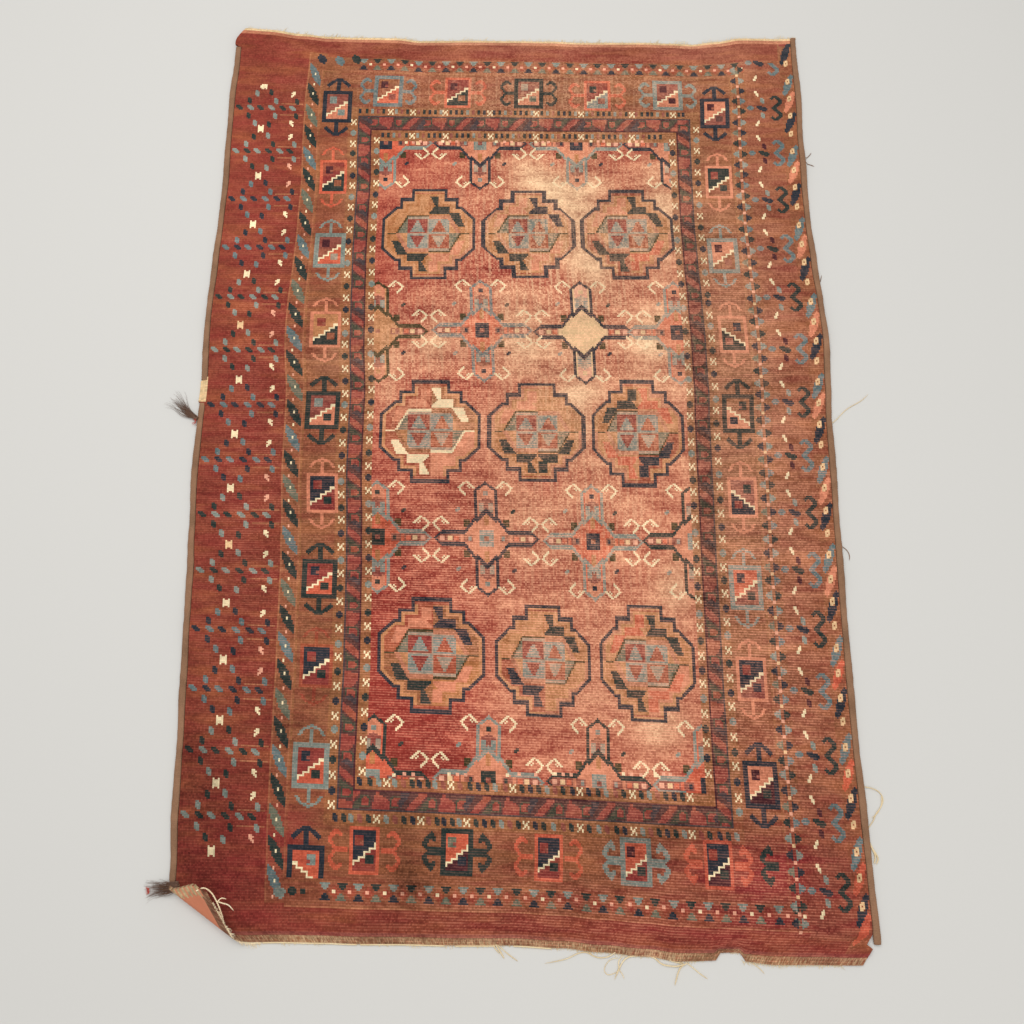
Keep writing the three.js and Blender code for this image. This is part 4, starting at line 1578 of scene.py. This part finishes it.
def tuftStrands(row):
    strands = []
    for _ in range(row["count"]):
        length = row["length"] * random.uniform(0.35, 1)
        aside = random.uniform(-1, 1)
        angle = radians(row["heading"]) + pi / 2
        place = {"x": row["x"] + aside * row["wide"] * cos(angle)}
        place |= {"y": row["y"] + aside * row["wide"] * sin(angle)}
        place |= {"heading": row["heading"] + random.uniform(-1, 1) * row["fan"], "length": length}
        place |= {"turn": random.uniform(-24, 24), "wave": random.uniform(0, 22)}
        path = headingPath(place, ceil(length / 1.8) + 2)
        share = np.linspace(0, 1, len(path))
        rise = row["high"] * (1 - share) ** 1.5
        z = 0.6 + rise + random.uniform(0.1, 5) * np.clip(1.1 - 0.6 * share, 0, 1)
        places = np.stack([path[:, 0], path[:, 1], z], -1) * mm
        strands.append((places, 0.42 * np.clip(1.15 - share, 0.15, 1)))
    return strands


def strandMesh(name, strands):
    data = bpy.data.curves.new(name, "CURVE")
    data.dimensions = "3D"
    data.bevel_depth = mm
    data.bevel_resolution = 0
    data.use_fill_caps = True
    for places, radii in strands:
        spline = data.splines.new("POLY")
        spline.points.add(len(places) - 1)
        spline.points.foreach_set("co", np.c_[places, np.ones(len(places))].astype(np.float32).ravel())
        spline.points.foreach_set("radius", (radii * np.ones(len(places))).astype(np.float32))
    holder = bpy.data.objects.new(name, data)
    mesh = bpy.data.meshes.new_from_object(holder)
    bpy.data.objects.remove(holder)
    bpy.data.curves.remove(data)
    mesh.materials.clear()
    mesh.polygons.foreach_set("use_smooth", np.ones(len(mesh.polygons), bool))
    return mesh


def joinMeshes(first, second, slot):  # the faces of the second take another material slot
    bm = bmesh.new()
    bm.from_mesh(first)
    before = len(bm.faces)
    bm.from_mesh(second)
    bm.faces.ensure_lookup_table()
    for face in bm.faces[before:]:
        face.material_index = slot
    bm.to_mesh(first)
    bm.free()
    return first


bindingWool = woolYarnFinish("bindingWool", (104, 76, 56), (166, 124, 96))
creamWarp = woolYarnFinish("creamWarp", (218, 188, 140), (255, 242, 206))
# painted light: a copy of the cream warp painted brighter, for the fringe on the raised flap where the light
# falls on it
flapWarp = woolYarnFinish("flapWarp", (240, 204, 156), (255, 250, 222))
tuftWool = woolYarnFinish("tuftWool", (84, 60, 50), (132, 102, 86))
fleckWool = woolYarnFinish("fleckWool", (176, 62, 58), (222, 96, 74))
random = np.random.default_rng(11)


def buildBindings():
    made = []
    for row in bindings:
        mesh = bindingMesh(row)
        strands = [[], [], [], []]
        for yarn in looseYarns.get(row["name"], ()):
            strands[1 if yarn.get("cream") else 0] += yarnStrands(yarn)
        if row["name"] == "selvedge_left_near":
            for values in zip(*tufts.values()):
                tuft = dict(zip(tufts, values))
                strands[tuft["slot"]] += tuftStrands(tuft)
        for slot, finish in enumerate((bindingWool, creamWarp, tuftWool, fleckWool)):
            mesh.materials.append(finish)
            if strands[slot]:
                joinMeshes(mesh, strandMesh("yarns", strands[slot]), slot)
        made.append(linkPiece("binding_" + row["name"].split("_", 1)[1], mesh, None, "binding", row["name"]))
    return made


# Bare warps at both ends
warpEnds = {  # a column for each strip of bare warps
    "piece": ("fringe_far", "fringe_flap", "fringe_near", "fringe_near_right"),
    "name": ("warps_far", "warps_flap", "warps_near", "warps_near_right"),
    "end": (1, -1, -1, -1),
    "from": (-552, -534, -417, 339),
    "to": (552, -419, 295, 520),
    "count": (760, 170, 470, 125),
    "length": ((2, 9), (3, 9), (1, 5), (2, 6)),
}
cordStretches = ((-436, -268), (-262, -128), (-110, -46), (-16, 45))


def warpStrands(row):
    strands = []
    at = np.linspace(row["from"], row["to"], row["count"]) + random.uniform(-0.5, 0.5, row["count"])
    end = np.full(row["count"], row["end"] * 1.0 * sheetSize["halfLength"])
    x, y = spread(np.clip(at, row["from"], row["to"]), end)
    clump = waves(at, at * 0.3, 7)
    for k in range(row["count"]):
        low, high = row["length"]
        length = low + (high - low) * random.uniform(0, 1) ** 1.6 * (1 + 0.6 * clump[k])
        lean = 0.5 * clump[k] + random.uniform(-0.35, 0.35)
        share = np.linspace(0, 1, 4)
        pathX = x[k] + lean * length * share**1.5
        pathY = y[k] + row["end"] * (0.15 + length * share)
        rise = 0.45 + random.uniform(0, 1.3) * (1 - share)
        strands.append((lay(pathX, pathY, rise), 0.42 * np.clip(1.2 - share, 0.3, 1)))
    return strands


def cordStrands(row):  # the twined cream cord that still holds some stretches of the near end
    strands = []
    for low, high in cordStretches:
        low, high = max(low, row["from"]), min(high, row["to"])
        if row["end"] > 0 or high - low < 10:
            continue
        count = int((high - low) / 1.0)
        u = np.linspace(low, high, count)
        x, y = spread(u, np.full(count, -1.0 * sheetSize["halfLength"]))
        for ply in (0, 1):
            twist = u / 5.0 * 2 * pi + pi * ply
            strands.append((lay(x, y - 1.1 + 0.55 * np.sin(twist), 1.3 + 0.6 * np.cos(twist)), 0.95))
    return strands


def buildEnds():
    made = []
    for values in zip(*warpEnds.values()):
        row = dict(zip(warpEnds, values))
        strands = warpStrands(row) + cordStrands(row)
        for yarn in looseYarns.get(row["piece"], ()):
            strands += yarnStrands(yarn)
        mesh = strandMesh(row["name"], strands)
        # the raised flap's fringe takes the copy of the warp that is painted brighter, as painted light
        finish = flapWarp if row["piece"] == "fringe_flap" else creamWarp
        made.append(linkPiece(row["name"], mesh, finish, "warp", row["piece"]))
    return made


bindingPieces = buildBindings()
print("the bindings are wound")
endPieces = buildEnds()
print("the warp ends hang loose")
